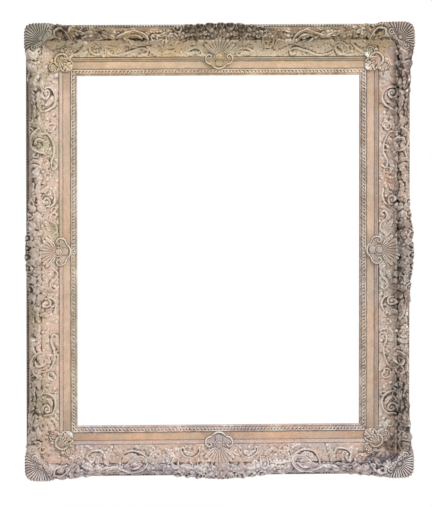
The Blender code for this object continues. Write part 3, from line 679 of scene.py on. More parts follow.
def leaf(points, width, height, lobes=5, curl=0.3):
    """A lobed leaf along a path: the outline swells and dies away, notched by its lobes.

    Its half width is a skewed sine of the share along it. Lobes sweep forward, their
    notches run in as veins, a groove marks the midrib and the tip stands up by curl.
    """
    path = smooth_path(points)
    share = np.linspace(0, 1, len(path))
    half = width / 2 * (0.14 + 0.86 * np.sin(math.pi * share ** 0.75) ** 0.7)

    def rise(p, q):
        i, gap = nearest(path, p, q)
        t, away = share[i], np.abs(gap)
        lobe = np.abs(np.sin(math.pi * (lobes * t - 1.1 * away / width)))
        out = away / (half[i] * (0.70 + 0.30 * np.sqrt(lobe)))
        vein = 0.30 * (1 - lobe) ** 2 * np.clip(away / half[i] * 2, 0, 1)
        rib = 0.28 * np.exp(-(away / 0.9) ** 2)
        body = dome(out) ** 0.8 * (0.75 + curl * t) * (0.85 + 0.3 * away / half[i])
        return height * np.where(out < 1, np.clip(body - vein - rib, 0, None), 0)

    return [(reach_of(path, width / 2), rise)]


def bead(p0, q0, radius, height, stretch=1.0, heading=0.0, power=1.2):
    """A dome on a circle, or on an ellipse stretched along its heading in degrees.

    The power of the dome says how flat it is: a low power gives a disc with a round edge.
    """
    turn = math.radians(heading)

    def rise(p, q):
        u = (p - p0) * math.cos(turn) + (q - q0) * math.sin(turn)
        v = (q - q0) * math.cos(turn) - (p - p0) * math.sin(turn)
        return height * dome(np.hypot(u / stretch, v) / radius) ** power

    return [(reach_of([(p0, q0)], radius * max(stretch, 1)), rise)]


def ring(p0, q0, radius, width, height):
    """A strap bent into a circle."""
    bearing = np.linspace(0, 2 * math.pi, 17)
    points = np.column_stack([p0 + radius * np.cos(bearing), q0 + radius * np.sin(bearing)])
    return strap(points, width, height, 0.0, (1.0, 1.0))


def rosette(p0, q0, radius, height, petals=5):
    """Petals as a cosine of the bearing, dished towards a bead in the middle."""

    def rise(p, q):
        out = np.hypot(p - p0, q - q0) / radius
        petal = np.abs(np.cos(np.arctan2(q - q0, p - p0) * petals / 2)) ** 0.6
        edge = out / (0.66 + 0.34 * petal)
        body = dome(edge) ** 0.7 * (0.35 + 0.75 * np.clip(edge, 0, 1)) * (0.55 + 0.45 * petal)
        return height * np.maximum(np.where(edge < 1, body, 0), 0.95 * dome(out / 0.27))

    return [(reach_of([(p0, q0)], radius), rise)]


def fan(p0, q0, radius, height, heading, spread=150.0, ribs=7, rim=0.0, start=0.15):
    """A scallop: ribs as a cosine of the bearing, rising outwards to a scalloped edge."""

    def rise(p, q):
        out = np.hypot(p - p0, q - q0) / radius
        off = np.degrees(np.arctan2(q - q0, p - p0)) - heading
        off = (off + 180) % 360 - 180
        rib = np.abs(np.cos(off / spread * ribs * math.pi)) ** 0.7
        edge = out / (0.90 + 0.10 * rib)
        inside = (edge < 1) & (np.abs(off) < spread / 2) & (out > start)
        lip = rim * np.exp(-((edge - 0.9) / 0.07) ** 2)
        body = (0.45 + 0.55 * edge) * (0.48 + 0.52 * rib) * np.clip((1 - edge) * 5, 0, 1) ** 0.5
        return height * np.where(inside, body + lip, 0)

    return [(reach_of([(p0, q0)], radius), rise)]


def volute(p0, q0, radius, height, start=0.0, hand=1, turns=1.3, width=0.52):
    """A strap wound on a spiral into an eye: its radius falls evenly with the turn."""
    share = np.linspace(0, 1, 16)
    bearing = math.radians(start) + hand * 2 * math.pi * turns * share
    r = radius * (1 - width / 2) * (1 - 0.80 * share)
    spiral = np.column_stack([p0 + r * np.cos(bearing), q0 + r * np.sin(bearing)])
    wound = strap(spiral, radius * width, height, 0.3, (0.9, 0.5), 0.2 * hand)
    return wound + bead(p0, q0, radius * 0.26, height * 1.05)


def scroll(p0, q0, radius, width, height, heading, sweep=250.0, squash=1.0):
    """A C scroll: an arc whose radius shrinks towards both ends, which end in small eyes.

    The radius is 1 less six tenths of the fourth power of the place along the arc, which
    runs from -1 to 1, and squash flattens the arc across its heading.
    """
    t = np.linspace(-1, 1, 15)
    bearing = math.radians(sweep / 2) * t * (1 + 0.35 * t ** 2)
    r = radius * (1 - 0.60 * t ** 4)
    turn = math.radians(heading)
    u, v = r * np.cos(bearing), r * np.sin(bearing) * squash
    arc_p = p0 + u * math.cos(turn) - v * math.sin(turn)
    arc_q = q0 + u * math.sin(turn) + v * math.cos(turn)
    arc = np.column_stack([arc_p, arc_q])
    marks = strap(arc, width, height, 0.45, (0.65, 0.65), 0.25)
    for end in (arc[0], arc[-1]):
        marks += bead(end[0], end[1], width * 0.62, height * 1.05)
    return marks


print("carving marks ready")


# %% Relief
def carve(p, q, marks, ground=0.0):
    """Marks laid one over another on the ground given.

    A mark's height is added to a third of what lies under it, so that the later one stands
    clear of the earlier one with a sharp edge, as if cut under.
    """
    relief = np.zeros_like(p) + ground
    for (p_low, q_low, p_high, q_high), rise in marks:
        near = (p > p_low) & (p < p_high) & (q > q_low) & (q < q_high)
        if near.any():
            here, under = rise(p[near], q[near]), relief[near]
            relief[near] = here + under * (1 - 0.67 * np.clip(here / 0.8, 0, 1))
    return relief


def ripple(p, q, seed, size, waves=7):
    """Smooth unevenness of about -1 to 1: a sum of sine waves of seeded headings."""
    draw = np.random.default_rng(seed)
    heading = draw.uniform(0, 2 * math.pi, waves)
    length = size * draw.uniform(0.7, 1.7, waves)
    start = draw.uniform(0, 2 * math.pi, waves)
    total = np.zeros_like(p)
    for t, span, phase in zip(heading, length, start):
        total += np.sin((p * math.cos(t) + q * math.sin(t)) * 2 * math.pi / span + phase)
    return total / math.sqrt(waves)


def blur(field, passes):
    """The field averaged with its neighbours again and again, weights 1, 2, 1 each way."""
    for _ in range(passes):
        padded = np.pad(field, 1, mode="edge")
        field = (padded[:-2, 1:-1] + 2 * padded[1:-1, 1:-1] + padded[2:, 1:-1]) / 4
        padded = np.pad(field, 1, mode="edge")
        field = (padded[1:-1, :-2] + 2 * padded[1:-1, 1:-1] + padded[1:-1, 2:]) / 4
    return field


def worn(relief):
    """Hollow: how much lower a place lies than its surroundings. Crest: how much higher."""
    close = blur(relief, 5)
    wide = blur(close, 110)
    hollow = 0.85 * (close - relief) + 0.17 * (wide - relief)
    crest = (relief - close) / 0.52
    return np.clip(hollow, -1, 1.4), np.clip(crest, -1, 1)


print("relief helpers ready")

# %% [markdown]
# The scrolls and leaves of the rails
#
# The pattern is drawn on half a rail and mirrored about the middle. `along` counts from the
# rail's middle and `across` from the sight edge. The cove carries C and S scrolls with small
# buds on plain ground. The ridge is packed with overlapping foliage: a garland by the
# cartouche, a big swirl half way, and long acanthus leaves that run out from the corner
# shell, with a row of small scrolls along its outer edge. Between them grows an undergrowth
# of low curls and lobes, sown by a seeded draw, so no two rails are the same.

# %% Undergrowth
def sprig(draw, p0, q0, reach, lift, turn, kinds):
    """One small leaf, curl or lobe of the given reach, headed by turn in degrees."""
    c, s = math.cos(math.radians(turn)), math.sin(math.radians(turn))
    kind = draw.uniform(0, 1)
    if kind < kinds[0]:
        bend = draw.uniform(-0.6, 0.6) * reach
        run = ((-reach, 0.0), (0.0, bend), (reach, 0.0))
        path = [(p0 + u * c - v * s, q0 + u * s + v * c) for u, v in run]
        return leaf(path, 1.15 * reach, lift, draw.integers(2, 5))
    if kind < kinds[1]:
        return scroll(p0, q0, 0.70 * reach, 0.30 * reach + 1.0, lift * 1.1, turn, 250)
    if kind > 0.93:
        return rosette(p0, q0, 0.85 * reach, lift * 1.1)
    return bead(p0, q0, 0.56 * reach, lift, 1.25, turn)


def undergrowth(seed, length, low, high, pitch, height, share=1.0, kinds=(0.55, 0.88), thick=(), fall=55):
    """Sprigs on a jittered grid, over -length to length along the rail.

    Each place of the grid is moved by up to four tenths of the pitch and given a kind, a
    size and a heading within fall of the rail's run. Only the given share of them is kept,
    but all in the thick stretches, each given by its ends as distances from the middle.
    """
    draw = np.random.default_rng(seed)
    marks = []
    for q in np.arange(low, high, pitch * 0.85):
        for p in np.arange(-length, length, pitch):
            jitter = draw.uniform(-0.4, 0.4, 2) * pitch
            size, turn = draw.uniform(0.75, 1.3), draw.uniform(-fall, fall)
            lift, bare = height * draw.uniform(0.6, 1.15), draw.uniform(0, 1)
            turn += 180 if p < 0 else 0
            if bare < share or any(low_p < abs(p) < high_p for low_p, high_p in thick):
                marks += sprig(draw, p + jitter[0], q + jitter[1], 0.72 * pitch * size, lift, turn, kinds)
    return marks


def overhang(p, q, seed):
    """The wavy inner edge of the ridge's foliage, which stands clear of the cove in lobes.

    A smooth step across an edge that wanders with a ripple and is cut into lobes by the
    size of a sine, and that dies away over the crest.
    """
    wander = 3.6 * ripple(p, 0 * p, seed, 110.0) + 1.2 * ripple(p, 0 * p, seed + 1, 34.0)
    lobes = 4.6 * np.abs(np.sin(math.pi * (p + 9 * ripple(p, 0 * p, seed + 2, 70.0)) / 21.0)) ** 0.7
    step = np.clip((q - (79.5 + wander - lobes)) / 2.4, 0, 1)
    return 3.0 * step ** 2 * (3 - 2 * step) * np.clip((98 - q) / 12, 0, 1)


def edge_scrolls(places, across, radius, height):
    """A row of small scrolls with a bead in each, along the outer edge of the ridge."""
    marks = []
    for p in places:
        marks += scroll(p, across, radius, 0.55 * radius, height, -90, 240, 0.9)
        marks += bead(p, across + 0.5, radius * 0.40, height)
    return marks


print("undergrowth of a short rail:", len(undergrowth(1, 330, 80, 112, 11.0, 2.0)), "marks")


# %% Pattern of the short rails
def short_ridge():
    """Ridge of half the top or bottom rail: garland, swirl and the leaves by the shell."""
    marks = leaf([(6, 82), (20, 90), (34, 86)], 15, 4.6, 3)
    marks += leaf([(42, 82), (56, 90), (72, 86)], 15, 4.6, 3)
    marks += edge_scrolls((-1, 21, 43, 65, 87), 104, 9.4, 4.6)
    marks += rosette(0, 91, 12, 4.8) + rosette(76, 92, 12.5, 5.0) + rosette(39, 93, 10, 4.6)
    marks += bead(20, 96, 7.5, 4.4, 1.3, 40)
    marks += bead(57, 97, 7.5, 4.4, 1.3, -40)
    marks += bead(100, 98, 9, 4.6, 1.5, 10)
    marks += leaf([(88, 80), (100, 88), (112, 82)], 14, 4.4, 3)
    marks += leaf([(158, 70), (142, 72), (120, 79)], 13, 4.4, 4)
    marks += leaf([(202, 85), (222, 92), (246, 96)], 16, 4.6, 4)
    marks += strap([(184, 88), (172, 86), (163, 78)], 6.0, 4.0, 0.3, (0.3, 0.7))
    marks += strap([(212, 86), (196, 92), (182, 96), (167, 93), (156, 85), (153, 76), (161, 68),
        (175, 69), (190, 77), (200, 84)], 8.0, 6.0, 0.4, (0.5, 0.5), 0.2)
    marks += leaf([(148, 96), (134, 101), (118, 98)], 12, 4.0, 3) + bead(140, 88, 3.6, 3.4)
    return marks


def short_corner():
    """Foliage of the top or bottom rail beside the corner shell."""
    marks = leaf([(296, 94), (262, 96), (218, 84)], 20, 5.4, 5)
    marks += leaf([(290, 80), (266, 84), (242, 80)], 15, 4.6, 4)
    for p, q, size in ((274, 103, 9.5), (298, 105, 11.0), (325, 107, 12.0), (352, 108, 12.0)):
        marks += bead(p, q, size, 4.6, 1.2, 0, 0.8) + scroll(p, q, 0.8 * size, 3.6, 3.4, -90, 230)
    marks += leaf([(322, 82), (304, 92), (282, 90)], 21, 5.6, 4)
    marks += strap([(311, 78), (317, 91), (330, 99), (344, 95), (345, 83),
        (334, 78)], 8.5, 5.8, 0.45, (0.5, 0.8), 0.2)
    marks += bead(326, 76, 5.0, 4.6, 1.4, 20) + bead(292, 75, 4.4, 4.2, 1.4, 20)
    return marks


def top_cove():
    """Cove of half the top rail."""
    marks = strap([(72, 48), (60, 57), (48, 60), (38, 52), (37, 44), (44, 41),
        (48, 46)], 5.0, 3.8, 0.45, (0.4, 0.8), -0.2)
    marks += leaf([(46, 50), (58, 47), (74, 52)], 9, 3.0, 4)
    marks += bead(80, 50, 3.6, 3.2) + bead(46, 46, 2.6, 3.4)
    marks += leaf([(48, 66), (60, 71), (76, 67)], 11, 3.0, 4)
    marks += strap([(89, 84), (90, 70), (96, 60), (105, 60), (110, 69), (111, 84)], 5.4, 4.2, 0.5)
    marks += leaf([(100, 84), (101, 68)], 9, 3.2, 3)
    marks += bead(118, 73, 3.0, 2.8) + leaf([(92, 46), (104, 51), (116, 46)], 8, 2.6, 4)
    marks += leaf([(120, 44), (134, 50), (150, 62)], 14, 3.6, 5)
    marks += strap([(114, 56), (122, 65), (133, 70), (146, 67)], 4.2, 3.2)
    marks += strap([(184, 70), (170, 65), (157, 67), (149, 76)], 5.4, 4.4, 0.4)
    marks += strap([(238, 50), (227, 44), (214, 42), (200, 44), (186, 49), (171, 54), (157, 57),
        (148, 51), (151, 44), (157, 46)], 5.2, 4.2, 0.5, (0.5, 0.8), 0.2)
    marks += bead(213, 50, 3.4, 3.0, 1.5) + bead(192, 56, 3.0, 3.0) + bead(176, 46, 2.6, 2.4)
    marks += leaf([(204, 49), (217, 57), (232, 62)], 11, 3.2, 4)
    marks += leaf([(176, 60), (190, 66), (206, 66)], 9, 2.8, 4)
    marks += scroll(255, 58, 13, 5.0, 3.8, -90, 250)
    marks += scroll(255, 62, 6.5, 3.4, 3.0, 90, 240)
    marks += bead(275, 50, 3.4, 3.0) + bead(236, 70, 3.4, 3.2)
    marks += volute(318, 50, 11, 4.4, 90, 1)
    marks += strap([(311, 42), (298, 46), (286, 54), (277, 66)], 5.6, 4.2, 0.5, (0.7, 0.4), 0.2)
    marks += leaf([(306, 60), (292, 67), (278, 74)], 10, 3.2, 4)
    marks += bead(301, 55, 3.2, 3.0) + bead(332, 62, 2.8, 2.6)
    return marks


def bottom_cove():
    """Cove of half the bottom rail: a crescent, an arch and a C scroll, each with its leaf."""
    marks = strap([(46, 49), (42, 43), (40, 50), (45, 62), (58, 69), (71, 66), (80, 56), (80, 47),
        (74, 45), (73, 50)], 5.0, 4.4, 0.5, (0.7, 0.7), 0.25)
    marks += leaf([(50, 52), (60, 59), (74, 53)], 11, 3.4, 4) + bead(62, 46, 3.0, 2.8)
    marks += scroll(90, 78, 10, 5.0, 4.6, 0, 230)
    marks += leaf([(94, 64), (102, 57), (112, 46)], 12, 3.4, 4) + bead(117, 63, 3.8, 3.6)
    marks += volute(138, 50, 7, 4.0, 0, 1) + leaf([(104, 72), (118, 76), (134, 72)], 10, 3.2, 4)
    marks += strap([(210, 82), (207, 68), (198, 56), (182, 50), (164, 56), (152, 64),
        (141, 68)], 6.4, 5.0, 0.5, (0.7, 0.6), 0.25)
    marks += leaf([(196, 68), (184, 62), (168, 66)], 12, 3.6, 5)
    marks += leaf([(194, 80), (182, 74), (168, 76)], 10, 3.4, 4)
    marks += leaf([(150, 78), (138, 60), (122, 52)], 11, 3.2, 4) + bead(152, 48, 3.2, 3.0)
    marks += leaf([(233, 80), (236, 66), (228, 50), (222, 42)], 15, 4.4, 5)
    marks += strap([(240, 58), (246, 50), (258, 48), (270, 54), (276, 64), (273, 74), (266, 76),
        (262, 71)], 5.8, 4.8, 0.5, (0.4, 0.9), -0.25)
    marks += bead(265, 71, 4.4, 5.2) + leaf([(250, 62), (256, 70), (254, 80)], 9, 3.2, 3)
    marks += bead(286, 52, 3.2, 3.0) + bead(283, 74, 3.6, 3.4)
    marks += leaf([(318, 58), (304, 64), (290, 62)], 11, 3.4, 4)
    marks += volute(318, 50, 10, 4.2, 90, 1) + bead(333, 62, 2.8, 2.6)
    return marks


print("short rails:", len(short_ridge()), "ridge marks on each half")


# %% Pattern of the long rails
def long_ridge():
    """Ridge of half the left or right rail."""
    marks = leaf([(8, 80), (20, 87), (34, 80)], 15, 4.6, 3)
    marks += leaf([(50, 80), (64, 88), (80, 82)], 15, 4.6, 3)
    marks += edge_scrolls((10, 32, 54, 76, 98), 104, 9.0, 4.4) + edge_scrolls((250, 274), 106, 8.0, 3.4)
    for p, q, size in ((0, 91, 10), (20, 96, 8), (56, 95, 9), (78, 88, 8), (90, 98, 9), (74, 78, 6.5),
        (92, 80, 8)):
        marks += bead(p, q, size, 4.6, 1.15, 3 * p, 0.9)
    marks += rosette(38, 90, 11, 4.8) + leaf([(104, 94), (122, 102), (144, 97)], 18, 4.8, 4)
    marks += leaf([(110, 82), (128, 88), (146, 82)], 14, 4.4, 4)
    marks += leaf([(156, 104), (164, 92), (180, 80)], 17, 4.6, 4)
    for p in (172, 182):
        marks += strap([(p, 79), (p + 6, 87), (p + 7, 96), (p + 3, 105)], 7.6, 3.6, 0.2, (0.6, 0.6))
    marks += leaf([(216, 90), (202, 99), (188, 97)], 15, 4.4, 4)
    marks += leaf([(252, 76), (264, 86), (284, 82)], 13, 4.2, 3)
    marks += strap([(258, 84), (246, 96), (230, 101), (215, 93), (211, 80), (220, 72), (232, 76),
        (234, 87), (226, 91)], 8.5, 6.0, 0.45, (0.4, 0.8), 0.2)
    marks += leaf([(262, 90), (276, 97), (296, 94)], 13, 4.0, 3)
    return marks


def long_corner():
    """Rounded leaves of the left or right rail beside the corner shell."""
    marks = leaf([(352, 98), (326, 102), (296, 92)], 19, 5.0, 5)
    marks += leaf([(336, 80), (314, 85), (292, 80)], 14, 4.4, 4)
    marks += leaf([(376, 84), (358, 94), (334, 90)], 20, 5.2, 4)
    for p in (384, 408, 432):
        marks += bead(p, 97, 11.5, 5.0, 1.1, 0, 0.8)
        marks += strap([(p - 9, 86), (p - 8, 100), (p + 1, 108), (p + 10, 100),
            (p + 8, 86)], 4.4, 3.6, 0.2, (0.6, 0.6))
        marks += bead(p + 1, 92, 4.4, 3.2, 1.3)
    return marks


def long_cove():
    """Cove of half the left or right rail."""
    marks = strap([(34, 52), (42, 44), (54, 46), (64, 56), (75, 58), (82, 49), (76, 43),
        (71, 47)], 5.4, 4.4, 0.5, (0.6, 0.8), 0.2)
    marks += leaf([(42, 56), (54, 62), (66, 68)], 11, 3.4, 4)
    marks += bead(58, 42, 2.8, 2.8)
    marks += bead(90, 44, 3.0, 3.0)
    marks += volute(106, 67, 12, 5.0, 180, 1)
    marks += strap([(93, 62), (99, 50), (114, 46), (128, 50)], 5.6, 4.2, 0.5, (0.7, 0.4), -0.2)
    marks += fan(134, 71, 11, 4.2, 200, 170, 6, 0.4) + bead(131, 56, 3.4, 3.2) + bead(113, 53, 3.0, 2.8)
    marks += leaf([(60, 72), (74, 75), (88, 70)], 10, 3.4, 4) + bead(150, 63, 3.6, 3.4)
    marks += strap([(176, 44), (172, 51), (184, 56), (203, 49), (225, 50), (239, 57), (246, 66),
        (246, 76)], 5.4, 4.6, 0.5, (0.5, 0.6), -0.2)
    marks += leaf([(232, 60), (218, 66), (202, 72)], 12, 3.8, 5)
    marks += leaf([(190, 62), (176, 66), (160, 60)], 11, 3.4, 4)
    marks += bead(214, 59, 3.6, 3.4)
    marks += bead(190, 46, 2.8, 2.6)
    marks += bead(166, 74, 3.4, 3.2)
    marks += bead(147, 45, 2.8, 2.6)
    marks += scroll(256, 54, 9, 4.4, 3.8, 60, 240) + leaf([(270, 60), (260, 67), (248, 70)], 9, 3.0, 4)
    marks += bead(276, 64, 3.6, 3.6) + bead(284, 50, 3.6, 3.6)
    marks += volute(328, 67, 13, 5.2, 60, 1)
    marks += strap([(340, 72), (339, 57), (328, 47), (313, 45), (301, 51), (295, 61),
        (292, 72)], 6.2, 5.0, 0.5, (0.6, 0.5), 0.25)
    marks += leaf([(322, 54), (312, 57), (304, 68)], 9, 3.2, 3)
    marks += leaf([(352, 64), (362, 55), (378, 52)], 11, 3.4, 4)
    marks += bead(350, 50, 3.2, 3.0)
    marks += bead(384, 66, 3.4, 3.0)
    return marks


print("long rails:", len(long_ridge()) + len(long_cove()), "marks on each half")

# %% [markdown]
# The carved rails
#
# One section serves all four. The inner run has a sloping fillet with fine grooves, which
# shines below and darkens above, and a cove that is a quarter of an ellipse; the outer run is
# the rolled ridge, with a thin bead and groove where the runs meet. Along the rail the ridge
# swells at the corners and the middle. The grid is section by section, and the relief pushes
# each point along the section's normal. A point's place along the rail is a share of the
# length at its own width, so both ends stay on the mitre however far a leaf stands out.

# %% Section of the carved rail
COVE_START, COVE_END, RIDGE_CREST = 39.0, 72.0, 89.5
COVE_FOOT, SHOULDER = 35.0, 53.0
RIDGE_WIDTH, RIDGE_RISE, RIDGE_AXIS = 13.2, 11.8, 48.0
CORNER_SWELL, CENTRE_SWELL, WAIST_PULL = 6.0, 5.5, 4.6
CORNER_LIFT, CENTRE_LIFT = 5.0, 4.0
CORNER_REACH, CENTRE_REACH = 180.0, 125.0
CORNER_ROUND, SHELL_HINGE = 18.0, 77.0
GLUE_GAP = 0.3
UNDERSIDE = FRONT_BASE + GLUE_GAP
FILLETS = (
    (31.6, 31.0), (31.8, 32.4), (33.0, 33.3), (33.5, 32.9), (35.2, 34.6),
    (35.6, 34.2), (36.8, 35.7), (37.7, 35.4), (38.3, 34.0), (39.0, 34.2),
)


def swell_share(distance, reach):
    """1 at distance 0, falling to 0 at reach as half a cosine wave."""
    return 0.5 + 0.5 * np.cos(math.pi * np.clip(np.abs(distance) / reach, 0, 1))


def swept(along, end):
    """How far the ridge swells outwards and lifts at places along its crest."""
    corner = swell_share(end - np.abs(along), CORNER_REACH)
    centre = swell_share(along, CENTRE_REACH)
    swell = -WAIST_PULL + (WAIST_PULL + CORNER_SWELL) * corner + (WAIST_PULL + CENTRE_SWELL) * centre
    return swell, CORNER_LIFT * corner + CENTRE_LIFT * centre


def under_shell(p, q):
    """1 where the shell will lie, falling to 0 round its rim and behind its lip."""
    round_rim = np.clip((31 - np.hypot(p - SHELL_HINGE, q - SHELL_HINGE)) / 5, 0, 1)
    return round_rim * np.clip((p + q - 2 * SHELL_HINGE + 12) / 10, 0, 1)


def cove_section(swell, lift):
    """Fillets: points joined by lines. Cove: a quarter ellipse. Then a groove.

    Returns the width and height of each point for each row, and its place in the pattern.
    """
    fillets = np.array(FILLETS)
    fine = np.linspace(fillets[0, 0], fillets[-1, 0], 22)
    w = [np.full(3, CARVED_START), fine]
    h = [np.linspace(UNDERSIDE, 30.6, 3), np.interp(fine, fillets[:, 0], fillets[:, 1])]
    t = np.radians(np.linspace(2, 88, 42))
    w.append(COVE_START + (COVE_END - COVE_START) * np.sin(t))
    h.append(SHOULDER - (SHOULDER - COVE_FOOT) * np.cos(t))
    t = np.linspace(0.12, 1, 6)
    w += [COVE_END + 4.0 * t, np.full(1, 76.5)]
    h += [SHOULDER + 1.3 * np.sin(math.pi * t), np.full(1, UNDERSIDE)]
    flat_w, flat_h = np.concatenate(w), np.concatenate(h)
    rows = np.ones((len(swell), 1))
    return rows * flat_w, rows * flat_h, flat_w


def ridge_section(swell, lift):
    """An arc from 168 down to -28 degrees that swells and lifts, then a neck and a flat back."""
    angle = np.radians(np.linspace(168, -28, 54))
    outwards = (1 + np.cos(angle)) / 2
    w = RIDGE_CREST + RIDGE_WIDTH * np.cos(angle) + np.outer(swell, outwards)
    h = RIDGE_AXIS + RIDGE_RISE * np.sin(angle) + np.outer(lift, np.clip(np.sin(angle), 0, 1))
    rows = np.ones((len(swell), 1))
    foot = np.array([(97.0, 30.0), (100.5, 25.0), (100.7, 19.0), (66.0, UNDERSIDE), (74.0, 44.0)])
    inner, outer = RIDGE_CREST + 15.5 * np.cos(angle), RIDGE_CREST + 14.6 * (math.pi / 2 - angle)
    across = np.concatenate([np.where(angle > math.pi / 2, inner, outer), [140.0, 145.0, 150.0, 155.0, 70.0]])
    return np.hstack([w, rows * foot[:, 0]]), np.hstack([h, rows * foot[:, 1]]), across


print("section points:", *[run(np.zeros(1), np.zeros(1))[0].size for run in (cove_section, ridge_section)])


# %% Wear and painted light by place
SEEDS = {"bottom": 11, "right": 23, "top": 37, "left": 41}
UNDERGROWTH = {
    "bottom": (0.50, ((0, 110), (250, 420))), "right": (0.35, ((0, 130), (250, 480))),
    "top": (0.25, ((0, 118), (230, 420))), "left": (0.45, ((0, 120), (300, 480))),
}
CHIPS = {
    "bottom": ((220, 86, 3.0), (-288, 104, 3.4), (-60, 104, 2.2), (330, 92, 2.4)),
    "right": ((354, 100, 3.2), (330, 97, 2.6), (-130, 100, 3.4), (-144, 101, 3.0), (-156, 100, 2.6),
              (-166, 104, 2.6), (-363, 101, 3.6), (-404, 106, 3.0)),
    "top": ((395, 100, 2.6), (-180, 104, 2.0)),
    "left": ((-168, 96, 3.2), (-51, 98, 2.6), (181, 96, 3.0), (-408, 104, 2.6)),
}
# How much the fillets darken on each side, below 0 paler: painted shade on the top and right, painted
# highlight on the bottom and left.
FILLET_SHADE_AND_HIGHLIGHT = {"bottom": -0.60, "right": 0.10, "top": 0.38, "left": -0.20}
NICK_LEVEL = {"bottom": 1.20, "right": 1.6, "top": 1.8, "left": 1.5}
# Each cloud of painted shade and soot: its place along and across, its length, its breadth and its depth
SHADE_AND_SOOT_SPOTS = {
    "bottom": (
        (-20, 88, 60, 14, 0.28), (345, 74, 46, 14, 1.25), (290, 86, 75, 15, 0.72),
        (-150, 88, 40, 14, 0.25), (-320, 90, 50, 12, 0.40),
    ),
    "right": (
        (-20, 81, 125, 8, 1.50), (-20, 98, 110, 10, 0.36), (345, 78, 75, 9, 1.10),
        (345, 96, 80, 15, 0.95), (-345, 86, 95, 17, 1.30), (-415, 62, 42, 16, 1.00),
        (130, 80, 50, 6, 0.80), (-150, 80, 60, 6, 0.80), (-240, 82, 60, 7, 0.80),
        (225, 80, 60, 6, 0.75),
    ),
    "top": (
        (0, 97, 108, 16, 1.40), (0, 84, 104, 4, 1.30), (340, 92, 80, 14, 0.95),
        (250, 90, 40, 8, 0.75), (-345, 90, 60, 14, 0.60), (170, 76, 40, 5, 0.60),
        (-170, 76, 40, 5, 0.60), (-270, 84, 30, 8, 0.50),
    ),
    "left": (
        (30, 100, 90, 10, 0.70), (30, 84, 80, 6, 0.55), (-330, 94, 50, 12, 0.42),
        (335, 88, 80, 13, 0.72), (-180, 100, 60, 10, 0.40), (250, 102, 40, 9, 0.40),
    ),
}


def chip_mask(along, across, spots, seed):
    """Ragged spots: 1 where the distance from a spot's middle, roughened, is under its size."""
    ragged = 1 + 0.35 * ripple(along, across, seed + 5, 4.0)
    mask = np.zeros_like(along)
    for p, q, size in spots:
        mask = np.maximum(mask, (np.hypot(along - p, across - q) * ragged < size).astype(float))
    return mask


def soot_mask(along, across, hollow, spots, seed):
    """Clouds of painted shade and dirt: each falls off as a bell across the rail and more squarely along it.

    The clouds thicken with the hollow and are broken by a ripple.
    """
    mask = np.zeros_like(along)
    for p, q, size, spread, depth in spots:
        cloud = depth * np.exp(-((along - p) / size) ** 4 - ((across - q) / spread) ** 2)
        mask = np.maximum(mask, cloud)
    broken = 0.92 + 0.22 * ripple(along, across, seed + 6, 24.0)
    return np.clip(mask * broken * (0.52 + 2.30 * np.clip(hollow + 0.12, 0, 1)), 0, 0.96)


print("chips:", sum(len(spots) for spots in CHIPS.values()))


# %% Carved rails
ROWS = {"bottom": 950, "right": 1080, "top": 950, "left": 1080}
LONG_PATTERN = long_ridge() + long_corner() + long_cove()
PATTERNS = {
    "bottom": short_ridge() + short_corner() + bottom_cove(),
    "right": LONG_PATTERN,
    "top": short_ridge() + short_corner() + top_cove(),
    "left": LONG_PATTERN,
}
RELIEF_LIMIT = 8.5
CHIP_DEPTH = 0.7
SHELL_BED = 5.0
MITRE_GAP = 0.2
COVE_GROWTH = (43, 70, 12.0, 1.6, 0.45)
RIDGE_GROWTH = (80, 112, 15.0, 2.9)
RIDGE_KINDS = (0.50, 0.62)
GROWTH_PAST_OPENING = 95


def within(size, limit):
    """Sizes that pass within 3 of the limit bend towards it and never reach it."""
    over = np.clip(size - limit + 3, 0, None)
    return np.minimum(size, limit - 3) + 3 * np.tanh(over / 3)


